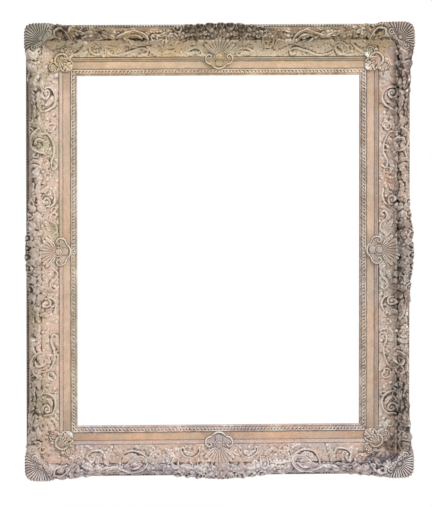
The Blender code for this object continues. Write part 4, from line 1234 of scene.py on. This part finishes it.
def carved_run(name, side, section, sown, front, finish, rolling):
    """A run of a rail: its section along the rail, pushed out by the marks, closed at both mitres.

    Relief r bends over as r / (1 + (r / limit)^4)^(1/4), so it never passes the limit. Chips
    are cut into it, and it sinks into a bed where a shell will lie.
    """
    turn, half, across_half = RAILS[side]
    share = np.linspace(-1, 1, ROWS[side])
    end = half + RIDGE_CREST
    swell, lift = swept(share * end, end)
    swell = swell - CORNER_ROUND * np.clip((np.abs(share) * end - end + 24) / 24, 0, 1) ** 2
    width, height, across = section(swell, lift)
    across = np.broadcast_to(across, width.shape)
    along = share[:, None] * (half + width)
    seed = SEEDS[side]
    p = along + 1.3 * ripple(along, across, seed, 60.0)
    q = across + 1.0 * ripple(along, across, seed + 1, 45.0)
    relief = carve(np.abs(p), q, PATTERNS[side], carve(p, q, sown))
    relief = relief / (1 + (relief / RELIEF_LIMIT) ** 4) ** 0.25
    relief *= 0.90 + 0.20 * ripple(along, across, seed + 9, 17.0)
    raised = np.clip(relief / 4, 0, 1)
    relief += overhang(p, q, seed + 50)
    relief += rolling * ripple(along, across, seed + 2, 24.0)
    relief += 0.28 * ripple(along, across, seed + 3, 9.0) + 0.15 * ripple(along, across, seed + 4, 4.5)
    chips = chip_mask(along, across, CHIPS[side], seed)
    covered = under_shell(np.abs(along) - half, width)
    relief = relief * front(across) * (1 - covered)
    relief = blur(relief - CHIP_DEPTH * chips - SHELL_BED * covered * front(across), 1)
    d_w, d_h = np.gradient(width, axis=1), np.gradient(height, axis=1)
    length = np.hypot(d_w, d_h)
    width = within(width - d_h / length * relief, OUTER_REACH)
    height = within(height + d_w / length * relief, FRONT_REACH - 0.1)
    hollow, crest = worn(relief)
    fillet = np.clip((COVE_START + 0.6 - across) / 0.6, 0, 1)
    # Over the fillets: grime and painted shade in their grooves, with each side's painted shade (top, right)
    # and painted highlight (bottom, left); a side painted darker is rubbed less, a paler one a little more.
    bare = fillet * (np.clip(2 * (blur(height, 10) - height), -0.5, 0.9) + FILLET_SHADE_AND_HIGHLIGHT[side])
    crest = crest - 0.8 * fillet * max(FILLET_SHADE_AND_HIGHLIGHT[side], -0.1)
    nicks = (ripple(along, across, seed + 8, 7.0) > NICK_LEVEL[side]) * np.clip(2 * crest - 0.6, 0, 1)
    chips = np.maximum(chips, nicks)
    # Painted shade with soot, in clouds at the listed places and thickest in the hollows.
    soot = soot_mask(along, across, hollow, SHADE_AND_SOOT_SPOTS[side], seed)
    along = share[:, None] * (half + width - MITRE_GAP)
    points = to_world(turn, 0, 0, along, across_half + width, height)
    masks = wear_and_painted_light_masks(hollow + bare, crest, chip=chips, soot=soot, raised=raised)
    piece = make_run(name + side, width.shape, points, finish, masks)
    return stand_for(piece, "carved_rail_" + side)


def cove_front(across):
    """0 over the fillets, rising to 1 over the cove."""
    return np.clip((across - COVE_START) / 1.5, 0, 1)


def ridge_front(across):
    """1 over the ridge, falling to 0 where it turns under."""
    return np.clip((124 - across) / 8, 0, 1)


for side in RAILS:
    length, seed = RAILS[side][1] + GROWTH_PAST_OPENING, SEEDS[side]
    packed, thick = UNDERGROWTH[side]
    sown = undergrowth(seed + 20, length, *COVE_GROWTH)
    sown += undergrowth(seed + 30, length, *RIDGE_GROWTH, packed, RIDGE_KINDS, thick)
    carved_run("carved_cove_", side, cove_section, sown, cove_front, COVE_FINISH[side], 0.3)
    carved_run("carved_ridge_", side, ridge_section, sown, ridge_front, RIDGE_FINISH[side], 1.1)

# %% [markdown]
# Applied ornaments
#
# The corner shells, the cartouches and the leafy scrolls over the inner mitres were cast
# apart and pressed on. Each is a patch: rings round a middle point, out to an outline given
# as a reach for each bearing, with a skirt that goes down into the rail and a closed foot.
# Its hollows are found by comparing each place with the mean height on circles round it.

# %% Patch helpers
# The hollow given to each ornament's rim and foot: a painted dark outline that stands in for its shadow.
RIM_PAINTED_SHADE = 0.8
ORNAMENT_RAISED = 0.4
# Painted shade with soot on the level ground of the cartouches and inner leaves.
ORNAMENT_SHADE_AND_SOOT = 0.10
FOOT_DEPTH = 3.0


def circle_reach(bearing, heading, distance, radius):
    """How far a ray from the middle runs to the far side of a circle, or 0 if it misses."""
    turned = bearing - heading
    inside = radius ** 2 - (distance * np.sin(turned)) ** 2
    reach = distance * np.cos(turned) + np.sqrt(np.clip(inside, 0, None))
    return np.where(inside > 0, np.clip(reach, 0, None), 0.0)


def worn_round(rise, p, q):
    """Hollow and crest from the mean height on two circles round each place less its own."""
    own = rise(p, q)
    bearings = np.arange(8) * math.pi / 4
    means = []
    for radius in (1.6, 4.5):
        around = [rise(p + radius * math.cos(t), q + radius * math.sin(t)) for t in bearings]
        means.append(sum(around) / 8 - own)
    hollow = np.clip(0.80 * means[0] + 0.20 * means[1], -1, 1.4)
    return hollow, np.clip(-means[0] / 1.1, -1, 1)


def patch(name, corner, middle, reach, rise, ground, foot, finish, darkening=0.0, spokes=280, rings=54, chips=()):
    """A closed patch of rings and spokes.

    A place is the middle plus a share of the reach along each bearing, and its height is
    the ground there plus the rise. The rim drops to the foot, and a fan closes the foot.
    Darkening is the painted shade and soot on level ground; it thickens in the hollows.
    """
    turn, x0, z0 = corner
    bearing = np.linspace(-math.pi, math.pi, spokes, endpoint=False)
    far = reach(bearing)
    share = np.linspace(0, 1, rings + 1)[1:, None]
    p = middle[0] + share * far * np.sin(bearing)
    q = middle[1] + share * far * np.cos(bearing)
    height = ground(p, q) + rise(p, q)
    low = foot(p[-1], q[-1])
    pole_p, pole_q = np.full(1, middle[0]), np.full(1, middle[1])
    pole_high = ground(pole_p, pole_q) + rise(pole_p, pole_q)
    all_p = np.concatenate([p.ravel(), p[-1], pole_p, pole_p])
    all_q = np.concatenate([q.ravel(), q[-1], pole_q, pole_q])
    all_h = np.concatenate([height.ravel(), low, pole_high, foot(pole_p, pole_q)])
    hollow, crest = worn_round(rise, all_p, all_q)
    # The last ring and the foot get a fixed hollow: a painted dark outline round the ornament.
    hollow[(rings - 1) * spokes:-2] = RIM_PAINTED_SHADE
    points = to_world(turn, x0, z0, all_p, all_q, all_h)
    column = np.arange(spokes)
    ahead = (column + 1) % spokes
    top, last = rings * spokes + spokes, rings * spokes
    sides = grid_faces(rings + 1, spokes, True)
    crown = np.column_stack([np.full(spokes, top), ahead, column])
    base = np.column_stack([np.full(spokes, top + 1), last + column, last + ahead])
    # Painted shade with soot, thickening in the hollows.
    soot = np.clip(darkening * (0.8 + 1.2 * hollow), 0, 0.95)
    broken = chip_mask(all_p, all_q, chips, 3)
    raised = np.full_like(hollow, ORNAMENT_RAISED)
    masks = wear_and_painted_light_masks(hollow, crest, chip=broken, soot=soot, raised=raised)
    return make_piece(name, points, [sides, crown], [base], finish, masks)


def plate_rise(p, q, out, thick, marks, share):
    """A plate with marks on it; its rounded edge is the root of 1 less the tenth power of out."""
    return thick * np.sqrt(np.clip(1 - out ** 10, 0, 1)) + share * carve(p, q, marks) * (out < 1.02)


def sunk(ground):
    """A foot that lies the same depth below the ground everywhere."""
    return lambda p, q: ground(p, q) - FOOT_DEPTH


print("patch helpers ready")

# %% [markdown]
# Corner shells
#
# A shell is a shallow dish on the mitre. Its ribs fan from a boss near the cove to the
# rounded corner, and a lip rolls up behind the boss with a small volute at each end.

# %% Corner shells
SHELL_REACH = OUTER_REACH - SHELL_HINGE - 0.2
SHELL_GROUND = 70.0 - 2.6
SHELL_FOOT = 44.0
SHELL_RIBS = 13
SHELL_SPREAD = math.radians(66)
MITRE = math.pi / 4
# Painted shade with soot on each shell, heaviest on the right.
SHELL_SHADE_AND_SOOT = {"top_left": 0.30, "top_right": 0.80, "bottom_left": 0.15, "bottom_right": 0.95}
SHELL_SIDE = {
    "top_left": "grey_corner", "top_right": "right", "bottom_left": "bottom", "bottom_right": "bottom",
}


def off_mitre(bearing):
    """Size of the angle between a bearing and the mitre, which points outwards at 45 degrees."""
    return np.abs((bearing - MITRE + math.pi) % (2 * math.pi) - math.pi)


def shell_reach(bearing):
    """A rounded square in the fan, scalloped by its ribs, closing to the lip behind it."""
    off = off_mitre(bearing)
    square = SHELL_REACH / (np.abs(np.cos(bearing)) ** 4 + np.abs(np.sin(bearing)) ** 4) ** 0.25
    scallop = 1 - 0.09 * (1 - np.sqrt(np.abs(np.cos(off / SHELL_SPREAD * SHELL_RIBS * math.pi / 2))))
    share = 1 - swell_share(np.maximum(math.pi - off, 0), math.pi - SHELL_SPREAD)
    return 10.0 + (square * scallop - 10.0) * np.clip(share * 1.6, 0, 1)


SHELL_MARKS = (
    bead(80, 80, 5.0, 3.0)
    + leaf([(60, 98), (66, 84), (75, 75)], 13, 3.8, 4) + leaf([(98, 60), (84, 66), (75, 75)], 13, 3.8, 4)
    + volute(62, 91, 8.5, 4.2, 60, 1, 1.1) + volute(91, 62, 8.5, 4.2, 30, -1, 1.1)
)


def shell_rise(p, q):
    """A dish with rounded ribs that deepen outwards; the rim bends down, and the lip stands on it."""
    u, v = p - SHELL_HINGE, q - SHELL_HINGE
    out = np.hypot(u, v) / SHELL_REACH
    off = np.abs(np.arctan2(u, v) - MITRE)
    rib = np.sqrt(np.abs(np.cos(off / SHELL_SPREAD * SHELL_RIBS * math.pi / 2)))
    outwards = np.clip((u + v) / 10, 0, 1)
    dish = -2.6 * np.clip(1 - np.abs(out - 0.45) / 0.45, 0, 1) * outwards
    drop = -4.6 * np.clip(out, 0, 1.25) ** 4
    tuck = -12.0 * np.clip((-(u + v) / math.sqrt(2) - 4) / 8, 0, 1) ** 1.5
    ribs = -3.8 * (1 - rib) * np.clip(out * 2.2 - 0.2, 0, 1) * outwards
    return dish + drop + ribs + tuck + 0.72 * carve(p, q, SHELL_MARKS)


def level(height):
    """A ground or a foot of one height."""
    return lambda p, q: np.full_like(p, height)


for name, corner in CORNERS.items():
    finish = RIDGE_FINISH[SHELL_SIDE[name]]
    shell = patch(
        "shell_" + name, corner, (SHELL_HINGE, SHELL_HINGE), shell_reach, shell_rise,
        level(SHELL_GROUND), level(SHELL_FOOT), finish, SHELL_SHADE_AND_SOOT[name],
    )
    stand_for(shell, "corner_shell_" + name)

# %% [markdown]
# Centre cartouches
#
# In the middle of each rail a scallop fans outwards from two bosses, under a hood whose pale
# rim stands over the frieze and curls into a volute on each side. The ornament lies on the
# moulding, so its ground is the section itself, read at each width.

# %% Ground of the applied ornaments
NO_SWELL = (np.full(1, CENTRE_SWELL), np.full(1, CENTRE_LIFT))
cove_w, cove_h, _ = cove_section(*NO_SWELL)
ridge_w, ridge_h, _ = ridge_section(*NO_SWELL)
FRONT_W = np.concatenate([[0.0, 6.0, FRIEZE_START, CARVED_START - 0.1], cove_w[0, 3:-1], ridge_w[0, 4:28]])
FRONT_H = np.concatenate([[25.0, 29.0, 29.0, 30.0], cove_h[0, 3:-1], ridge_h[0, 4:28]])
order = np.argsort(FRONT_W, kind="stable")
FRONT_W, FRONT_H = FRONT_W[order], FRONT_H[order]


def front_of(p, q):
    """Height of the rail's front at width q."""
    return np.interp(q, FRONT_W, FRONT_H)


def mitred_front(p, q):
    """Height of the front of whichever rail lies there."""
    return np.interp(np.maximum(p, q), FRONT_W, FRONT_H)


print("front from", FRONT_H.min(), "to", round(float(FRONT_H.max()), 1), "mm")


# %% Centre cartouches
BOSS = 40.0
FAN_HALF = math.radians(56)
HALF_RIM = [(5, 15.6), (11, 18.5), (16, 23), (23, 26), (27.5, 32), (27, 40), (20.5, 44), (16, 40),
    (19.5, 36)]
RIM = [(-p, q) for p, q in HALF_RIM[::-1]] + [(0, 15)] + HALF_RIM
CARTOUCHE_MARKS = (
    fan(0, BOSS + 2, 41, 4.4, 90, 114, 9, 0.25)
    + leaf([(-8, 46), (-20, 56), (-32, 66)], 9, 4.0, 3) + leaf([(8, 46), (20, 56), (32, 66)], 9, 4.0, 3)
    + bead(0, 33, 18, -0.5, power=0.7) + strap(RIM, 3.6, 2.8, 0.0, (0.7, 0.7), 0.0)
    + bead(0, 27, 7.6, 2.0, power=0.7) + ring(0, 40, 9.4, 2.4, 1.6) + bead(0, 40, 7.8, 3.0, power=0.7)
)


def cartouche_reach(bearing):
    """The scallop's rim, and circles for the side volutes and the hood."""
    off = np.abs(bearing)
    fan_rim = 43 * np.clip((FAN_HALF * 1.25 - off) * 6, 0, 1)
    fan_rim *= 1 - 0.07 * (1 - np.abs(np.cos(off / FAN_HALF * 9 * math.pi / 2)))
    side = circle_reach(off, math.radians(106), 18.0, 13.0)
    inner = circle_reach(off, math.pi, 11.0, 16.5)
    return np.maximum.reduce([fan_rim, side, inner, np.full_like(off, 14.0)])


def cartouche_rise(p, q):
    """The cartouche's plate and marks."""
    out = np.hypot(p, q - BOSS) / cartouche_reach(np.arctan2(p, q - BOSS))
    return plate_rise(p, q, out, 3.6, CARTOUCHE_MARKS, 1.05)


for side, (turn, half, across_half) in RAILS.items():
    place = (turn, -across_half * math.sin(turn), -across_half * math.cos(turn))
    cartouche = patch(
        "cartouche_" + side, place, (0.0, BOSS), cartouche_reach, cartouche_rise,
        front_of, sunk(front_of), COVE_FINISH[side], ORNAMENT_SHADE_AND_SOOT,
    )
    stand_for(cartouche, "centre_cartouche_" + side)

# %% [markdown]
# Inner corner leaves
#
# Over each mitre of the frieze lies a leafy cartouche: a ribbed leaf in a bowl with a thick
# rim, a C scroll on each side, and a lobe whose tip points at the picture.

# %% Inner corner leaves
LEAF_MIDDLE = 34.0


def on_mitre(u, v):
    """Place at u outwards along the mitre and v to one side of it."""
    return (u + v) / math.sqrt(2), (u - v) / math.sqrt(2)


def side_marks(hand):
    """A C scroll with a fan in it, a small leaf and two buds, on one side of the mitre."""
    c_p, c_q = on_mitre(47, 23 * hand)
    outwards = 45 - 90 * hand
    marks = fan(*on_mitre(46, 14 * hand), 18, 3.6, outwards, 130, 6)
    marks += scroll(c_p, c_q, 11.5, 4.2, 4.4, outwards + 180, 270)
    marks += leaf([on_mitre(42, 10 * hand), on_mitre(34, 19 * hand), on_mitre(25, 29 * hand)], 13, 4.4, 3)
    marks += bead(*on_mitre(61, 15 * hand), 4.4, 4.0) + bead(*on_mitre(30, 14 * hand), 3.4, 4.0)
    return marks


BOWL = [on_mitre(u, v) for u, v in ((40, -13), (50, -14), (58, -9), (61, 0), (58, 9), (50, 14), (40, 13))]
LEAF_MARKS = (
    side_marks(1) + side_marks(-1) + bead(*on_mitre(48, 0), 14, 2.2, power=0.7)
    + leaf([on_mitre(40, 0), on_mitre(28, 0), on_mitre(14, 0)], 22, 5.0, 3)
    + fan(*on_mitre(57, 0), 23, 4.6, 225, 84, 5) + strap(BOWL, 5.4, 4.6, 0.0, (0.4, 0.4))
)


def leaf_reach(bearing):
    """Circles for the scroll on each side, the lobe over the sight corner and the bowl."""
    off = off_mitre(bearing)
    scroll_rim = circle_reach(off, math.radians(82), 19.0, 14.5)
    tip = circle_reach(off, math.pi, 15.0, 15.0)
    bowl = circle_reach(off, 0.0, 4.0, 15.0)
    return np.maximum.reduce([scroll_rim, tip, bowl])


def leaf_rise(p, q):
    """The leaf's plate and marks."""
    u, v = p - LEAF_MIDDLE, q - LEAF_MIDDLE
    out = np.hypot(u, v) / leaf_reach(np.arctan2(u, v))
    return plate_rise(p, q, out, 3.4, LEAF_MARKS, 1.0)


BROKEN = {"top_right": ((15, 14, 5.0), (42, 12, 5.5)), "bottom_left": ((16, 15, 3.0),)}
LEAF_SIDE = {"top_left": "top", "top_right": "left", "bottom_left": "left", "bottom_right": "right"}
for name, corner in CORNERS.items():
    finish = COVE_FINISH[LEAF_SIDE[name]]
    inner = patch(
        "inner_leaf_" + name, corner, (LEAF_MIDDLE, LEAF_MIDDLE), leaf_reach, leaf_rise,
        mitred_front, sunk(mitred_front), finish, ORNAMENT_SHADE_AND_SOOT,
        spokes=240, rings=46, chips=BROKEN.get(name, ()),
    )
    stand_for(inner, "corner_leaf_" + name)

# %% [markdown]
# The sight edge
#
# The innermost moulding is a plain roll by the picture, a run of small leaf tips, and a
# plain pale fillet beside the frieze. The tips lean towards the corners from the middle. One
# tip is the distance from its leaning midline over a half width that swells and closes, and
# the pattern repeats it.

# %% Sight edge
TIP_PITCH = 7.2
TIP_LEAN = 0.7
TIP_START = 3.8
TIP_END = 10.6
SIGHT_BAND = FRIEZE_START - 0.4


def tip_relief(along, across):
    """Leaf tips with a groove on the midrib, a dart between each two, and nicks on the roll."""
    place = (along + TIP_LEAN * (across - SIGHT_BAND / 2)) / TIP_PITCH
    off = np.abs(place - np.round(place)) * 2
    share = np.clip((across - TIP_START) / (TIP_END - TIP_START), 0, 1)
    half = 0.86 * np.sin(math.pi * share ** 0.8) ** 0.6 + 0.02
    midrib = 0.30 * np.exp(-(off / 0.16) ** 2) * (share > 0.1)
    tip = dome(off / half) ** 1.2 * (0.55 + 0.45 * share) - midrib
    dart = 0.6 * dome((1 - off) / 0.34) * dome((share - 0.2) / 0.22)
    roll = 1.5 * dome((across - 1.9) / 2.0) * (0.92 + 0.08 * np.cos(2 * math.pi * along / TIP_PITCH * 2))
    plain = 1.9 * dome((across - TIP_END - 1.5) / 1.5)
    tips = np.where(across < TIP_END, 2.6 * np.maximum(np.clip(tip, 0, 1), dart), plain)
    return np.where(across > TIP_START, tips, roll)


def sight_strip(side):
    """The strip: a slope outwards given by a line and a low swell, pushed up by the leaf tips."""
    turn, half, across_half = RAILS[side]
    share = np.linspace(-1, 1, int(2 * half / 0.75))[:, None]
    t = np.linspace(0, 1, 26)
    w = np.concatenate([[0.05, 0.05], 0.1 + (SIGHT_BAND - 0.2) * t, [SIGHT_BAND, SIGHT_BAND]])
    h = np.concatenate([[18.6, 23.4], 24.0 + 4.4 * t + 1.8 * np.sin(math.pi * t ** 0.8), [27.4, 18.6]])
    along = share * (half + w)
    across = np.broadcast_to(w, along.shape)
    seed = SEEDS[side]
    drift = 1.6 * ripple(along, across, seed + 7, 50.0) + 0.45 * ripple(along, across, seed + 17, 9.0)
    relief = tip_relief(np.abs(along) + drift, across)
    relief[:, :3] = 0
    relief[:, -3:] = 0
    relief *= 0.80 + 0.28 * ripple(along, across, seed + 8, 14.0)
    hollow, crest = worn(relief)
    hollow = hollow + 0.45 * (across > SIGHT_BAND - 0.9) + 0.35 * np.exp(-((across - TIP_START) / 1.2) ** 2)
    along = share * (half + across - MITRE_GAP)
    points = to_world(turn, 0, 0, along, across_half + across, h + relief)
    masks = wear_and_painted_light_masks(hollow, crest)
    piece = make_run("sight_leaf_tips_" + side, across.shape, points, SIGHT_FINISH[side], masks)
    return stand_for(piece, "sight_edge_" + side)


for side in RAILS:
    sight_strip(side)

# %% [markdown]
# The bead run
#
# Behind the overhanging ridge a string of beads follows the straight outer edge. There are
# some six hundred, so each bead has only 64 triangles: rings of eight points between two
# poles, copied along the rail by adding its place to every point.

# %% Bead run
BEAD_PITCH = 5.7
BEAD_RADIUS = 2.15
BEAD_LINE = RAIL_WIDTH - BEAD_RADIUS - 0.1
BEAD_HEIGHT = 22.8


def ball(segments=8, rings=4):
    """Points and triangles of a ball of radius 1: circles of latitude between two poles.

    The triangles face inwards here, because to_world mirrors them and so turns them over.
    """
    latitude = np.linspace(-math.pi / 2, math.pi / 2, rings + 2)[1:-1]
    longitude = np.linspace(0, 2 * math.pi, segments, endpoint=False)
    flat = np.cos(latitude)[:, None]
    high = np.broadcast_to(np.sin(latitude)[:, None], (rings, segments))
    circles = np.stack([flat * np.cos(longitude), flat * np.sin(longitude), high], axis=-1)
    points = np.vstack([circles.reshape(-1, 3), [(0, 0, -1), (0, 0, 1)]])
    quads = grid_faces(rings, segments, True)
    sides = np.vstack([quads[:, [0, 1, 2]], quads[:, [0, 2, 3]]])
    j = np.arange(segments)
    k = (j + 1) % segments
    pole, last = rings * segments, (rings - 1) * segments
    south = np.column_stack([np.full(segments, pole), k, j])
    north = np.column_stack([np.full(segments, pole + 1), last + j, last + k])
    return points, np.vstack([sides, south, north])[:, ::-1]


def bead_run(side):
    """A narrow strip with mitred ends, and balls spaced evenly along its edge."""
    turn, half, across_half = RAILS[side]
    w = RAIL_WIDTH - np.array([3.6, 3.6, 0.2, 0.2])
    h = np.array([10.2, 21.6, 21.2, 10.2])
    ends = np.array([[-1.0], [1.0]])
    along = ends * (half + w - MITRE_GAP)
    strip = to_world(turn, 0, 0, along, across_half + np.stack([w, w]), np.stack([h, h]))
    shape, triangles = ball()
    line = half + BEAD_LINE - BEAD_PITCH / 2
    count = int(round(2 * line / BEAD_PITCH)) + 1
    along = np.linspace(-line, line, count)[:, None]
    size = BEAD_RADIUS * (1 + 0.06 * ripple(along, along, SEEDS[side] + 9, 40.0))
    a = along + size * shape[:, 0] * 1.15
    w = BEAD_LINE + size * shape[:, 1]
    h = BEAD_HEIGHT + size * shape[:, 2]
    beads = to_world(turn, 0, 0, a, across_half + w, h)
    faces = (triangles[None] + len(shape) * np.arange(count)[:, None, None]).reshape(-1, 3) + len(strip)
    points = np.vstack([strip, beads])
    # The strip is darker, and each bead darker at its back and paler at its front: painted shade and painted
    # highlight.
    hollow = np.concatenate([np.full(len(strip), 0.5), np.tile(-0.55 * shape[:, 2] + 0.15, count)])
    flat = [grid_faces(2, 4, True), end_caps(2, 4)]
    masks = wear_and_painted_light_masks(hollow, -0.8 * hollow)
    piece = make_piece("bead_run_" + side, points, [faces], flat, BEAD_FINISH[side], masks)
    return stand_for(piece, "bead_strip_" + side)


for side in RAILS:
    bead_run(side)

# %% [markdown]
# The frieze
#
# The flat band keeps its CAD node and gets a finish. It is the smoothest and warmest part
# of the front: flesh pink to ochre, a little cloudy, dirty along both edges where dust
# gathers against the mouldings, and darker beside the cartouche, where shade is painted
# with the dirt. The band's own width coordinate comes from the position.

# %% Frieze finish
FRIEZE_TONES = {
    "top": ("e7c8a7", "d3b99c", "c39c72"),
    "left": ("e0c2aa", "c9b5a2", "c6a180"),
    "right": ("dabda6", "c4b0a0", "c3a188"),
    "bottom": ("e8bc99", "ccb19b", "c39b85"),
}


def frieze_finish(side):
    """Warm ground in clouds, streaks along the band, grey edges and ends, painted shade with dirt beside the
    cartouche, and fine dirt.
    """
    made, tree, shader, where = new_material("frieze_gilding_" + side)
    ground, veil, stain = FRIEZE_TONES[side]
    upright = side in ("left", "right")
    split = wire(tree, "SeparateXYZ", i0=where).outputs
    from_centre = less(tree, split["Z"], CENTRE_Z * MM)
    over, along = (split["X"], from_centre) if upright else (from_centre, split["X"])
    inner, end = (HALF_W, HALF_H) if upright else (HALF_H, HALF_W)
    across = less(tree, size_of(tree, over), inner * MM)
    from_middle = size_of(tree, less(tree, across, (FRIEZE_START + CARVED_START) / 2 * MM))
    ragged = times(tree, noise(tree, where, 90.0, 4.0), 0.0035)
    edge = step_up(tree, sum_of(tree, from_middle, ragged), 0.0072, 0.0098)
    drawn = stretched(tree, where, (9, 9, 0.5) if upright else (0.5, 9, 9))
    brushed = step_up(tree, noise(tree, drawn, 40.0, 3.0), 0.40, 0.66)
    ragged_end = times(tree, noise(tree, where, 30.0, 2.0), 0.06)
    clouded = sum_of(tree, size_of(tree, along), ragged_end)
    corner = step_up(tree, clouded, (end - 45) * MM, (end + 50) * MM)
    # Darker beside the cartouche: a painted contact shadow, with dirt.
    beside = step_up(tree, clouded, 0.075, 0.045)
    darkening = step_up(tree, noise(tree, where, 300.0, 4.0, 0.7), 0.60, 0.72)
    patches = use_group(tree, PATCHES, Position=where)
    tone = laid_over(tree, blend(tree, patches["Broad"], colour(ground), colour(veil)), (
        (patches["Mottle"], 0.35, "b19a84"), (patches["Stain"], 0.45, stain), (brushed, 0.40, stain),
        (edge, 0.62, "6f5b48"), (sum_of(tree, corner, beside), 0.40, "8d7660"),
        (darkening, 0.50, "6b5947"), (patches["Flecks"], 0.40, "f0e0cc"),
    ))
    rough = step_up(tree, patches["Mottle"], 0.0, 1.0, 0.50, 0.68)
    set_inputs(tree, shader, Base_Color=tone, Roughness=rough, Metallic=GILT_METALLIC)
    bump(tree, shader, less(tree, patches["Mottle"], darkening), 0.25, 0.0005)
    return made


def dress(node, finish):
    """Give a CAD node its finish on its own slot."""
    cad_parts[node].material_slots[0].material = finish


for side in RAILS:
    dress("frieze_" + side, frieze_finish(side))
print("frieze dressed")

# %% [markdown]
# Wood behind
#
# The back bars are bare softwood gone brown with age, with the grain along each bar. The
# butterfly keys are oak, darker, with their grain across the joint so that they can't split.

# %% Wood finishes
def wood(name, light, dark, pore, turn):
    """Figure between two tones, dark pores and dust, with the grain turned to the board."""
    made, tree, shader, where = new_material(name)
    along = wire(tree, "Mapping", Vector=where, Rotation=turn).outputs[0]
    grain = use_group(tree, GRAIN, Position=along)
    patches = use_group(tree, PATCHES, Position=where)
    tone = laid_over(tree, blend(tree, grain["Figure"], colour(light), colour(dark)), (
        (grain["Pores"], 0.55, pore), (patches["Broad"], 0.30, "6d5c4a"),
    ))
    rough = step_up(tree, grain["Pores"], 0.0, 1.0, 0.68, 0.86)
    set_inputs(tree, shader, Base_Color=tone, Roughness=rough)
    bump(tree, shader, less(tree, grain["Figure"], grain["Pores"]), 0.35, 0.0008)
    return made


PINE_TONES = ("b58d5f", "93693f", "5a3d24")
PINE_LEVEL = wood("pine_level", *PINE_TONES, (0.0, 0.0, 0.0))
PINE_UPRIGHT = wood("pine_upright", *PINE_TONES, (0.0, math.pi / 2, 0.0))
for side in RAILS:
    dress("back_rail_" + side, PINE_UPRIGHT if side in ("left", "right") else PINE_LEVEL)
KEY_TURNS = {"bottom_right": 1, "top_right": -1, "top_left": 1, "bottom_left": -1}
for name, sign in KEY_TURNS.items():
    finish = wood("oak_" + name, "8a6238", "66421f", "2f1d0f", (0.0, sign * math.pi / 4, 0.0))
    dress("mitre_key_" + name, finish)
print("wood dressed: 4 bars and 4 keys")

# %% [markdown]
# Metal behind
#
# The hangers are zinced steel, dulled to a cloudy grey with a few rust spots. The turn
# buttons are brass, brown where they were never touched and bright where a thumb turned them.

# %% Metal finishes
def metal(name, bright, dull, spot, rough_low, rough_high):
    """Bright metal under cloudy tarnish and spots; tarnish is rougher."""
    made, tree, shader, where = new_material(name)
    old = use_group(tree, METAL, Position=where)
    tone = blend(tree, old["Tarnish"], colour(bright), colour(dull))
    tone = blend(tree, old["Spots"], tone, colour(spot))
    rough = step_up(tree, sum_of(tree, old["Tarnish"], old["Scratches"]), 0.2, 1.6, rough_low, rough_high)
    set_inputs(tree, shader, Base_Color=tone, Roughness=rough, Metallic=0.9)
    bump(tree, shader, old["Scratches"], 0.12, 0.0002)
    return made


ZINC = metal("zinc_steel", "b9bbb9", "8b8e8d", "6f4f38", 0.30, 0.52)
BRASS = metal("aged_brass", "c9a455", "86683a", "4b3720", 0.26, 0.50)
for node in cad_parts:
    if node.startswith(("hanger_", "strap_screw_", "button_screw_")):
        dress(node, ZINC)
    elif node.startswith("turn_button_"):
        dress(node, BRASS)
print("metal dressed")

# %% [markdown]
# Floor
#
# The frame hangs clear of a pale floor. Near the frame the floor takes its soft shadow, and
# far off it turns plain white, as the background of the photograph is.

# %% Floor
FLOOR_DROP = 0.30


def make_floor():
    """A wide sheet below the frame: pale near the middle, pure white further out."""
    size, height = 30.0, cad_box[0].z - FLOOR_DROP
    mesh = bpy.data.meshes.new("floor")
    corners = [(-size, -size, height), (size, -size, height), (size, size, height), (-size, size, height)]
    mesh.from_pydata(corners, [], [(0, 1, 2, 3)])
    floor = add_object("floor", mesh)
    made, tree, shader, where = new_material("floor")
    set_inputs(tree, shader, Base_Color=colour("eeeeec"), Roughness=0.9)
    rays = wire(tree, "LightPath").outputs
    seen = sum_of(tree, rays["Is Camera Ray"], rays["Is Transmission Ray"], "MAXIMUM")
    distance = wire(tree, "VectorMath", {"operation": "LENGTH"}, i0=where).outputs["Value"]
    far = step_up(tree, distance, 1.3, 2.6)
    share = times(tree, seen, far)
    glow = wire(tree, "Emission", Color=(1, 1, 1, 1), Strength=1.0)
    mix = wire(tree, "MixShader", i0=share, i1=shader.outputs[0], i2=glow.outputs[0])
    set_inputs(tree, tree.nodes["Material Output"], Surface=mix.outputs[0])
    mesh.materials.append(made)
    return floor


make_floor()
print("floor", round(FLOOR_DROP * 1000), "mm below the frame")
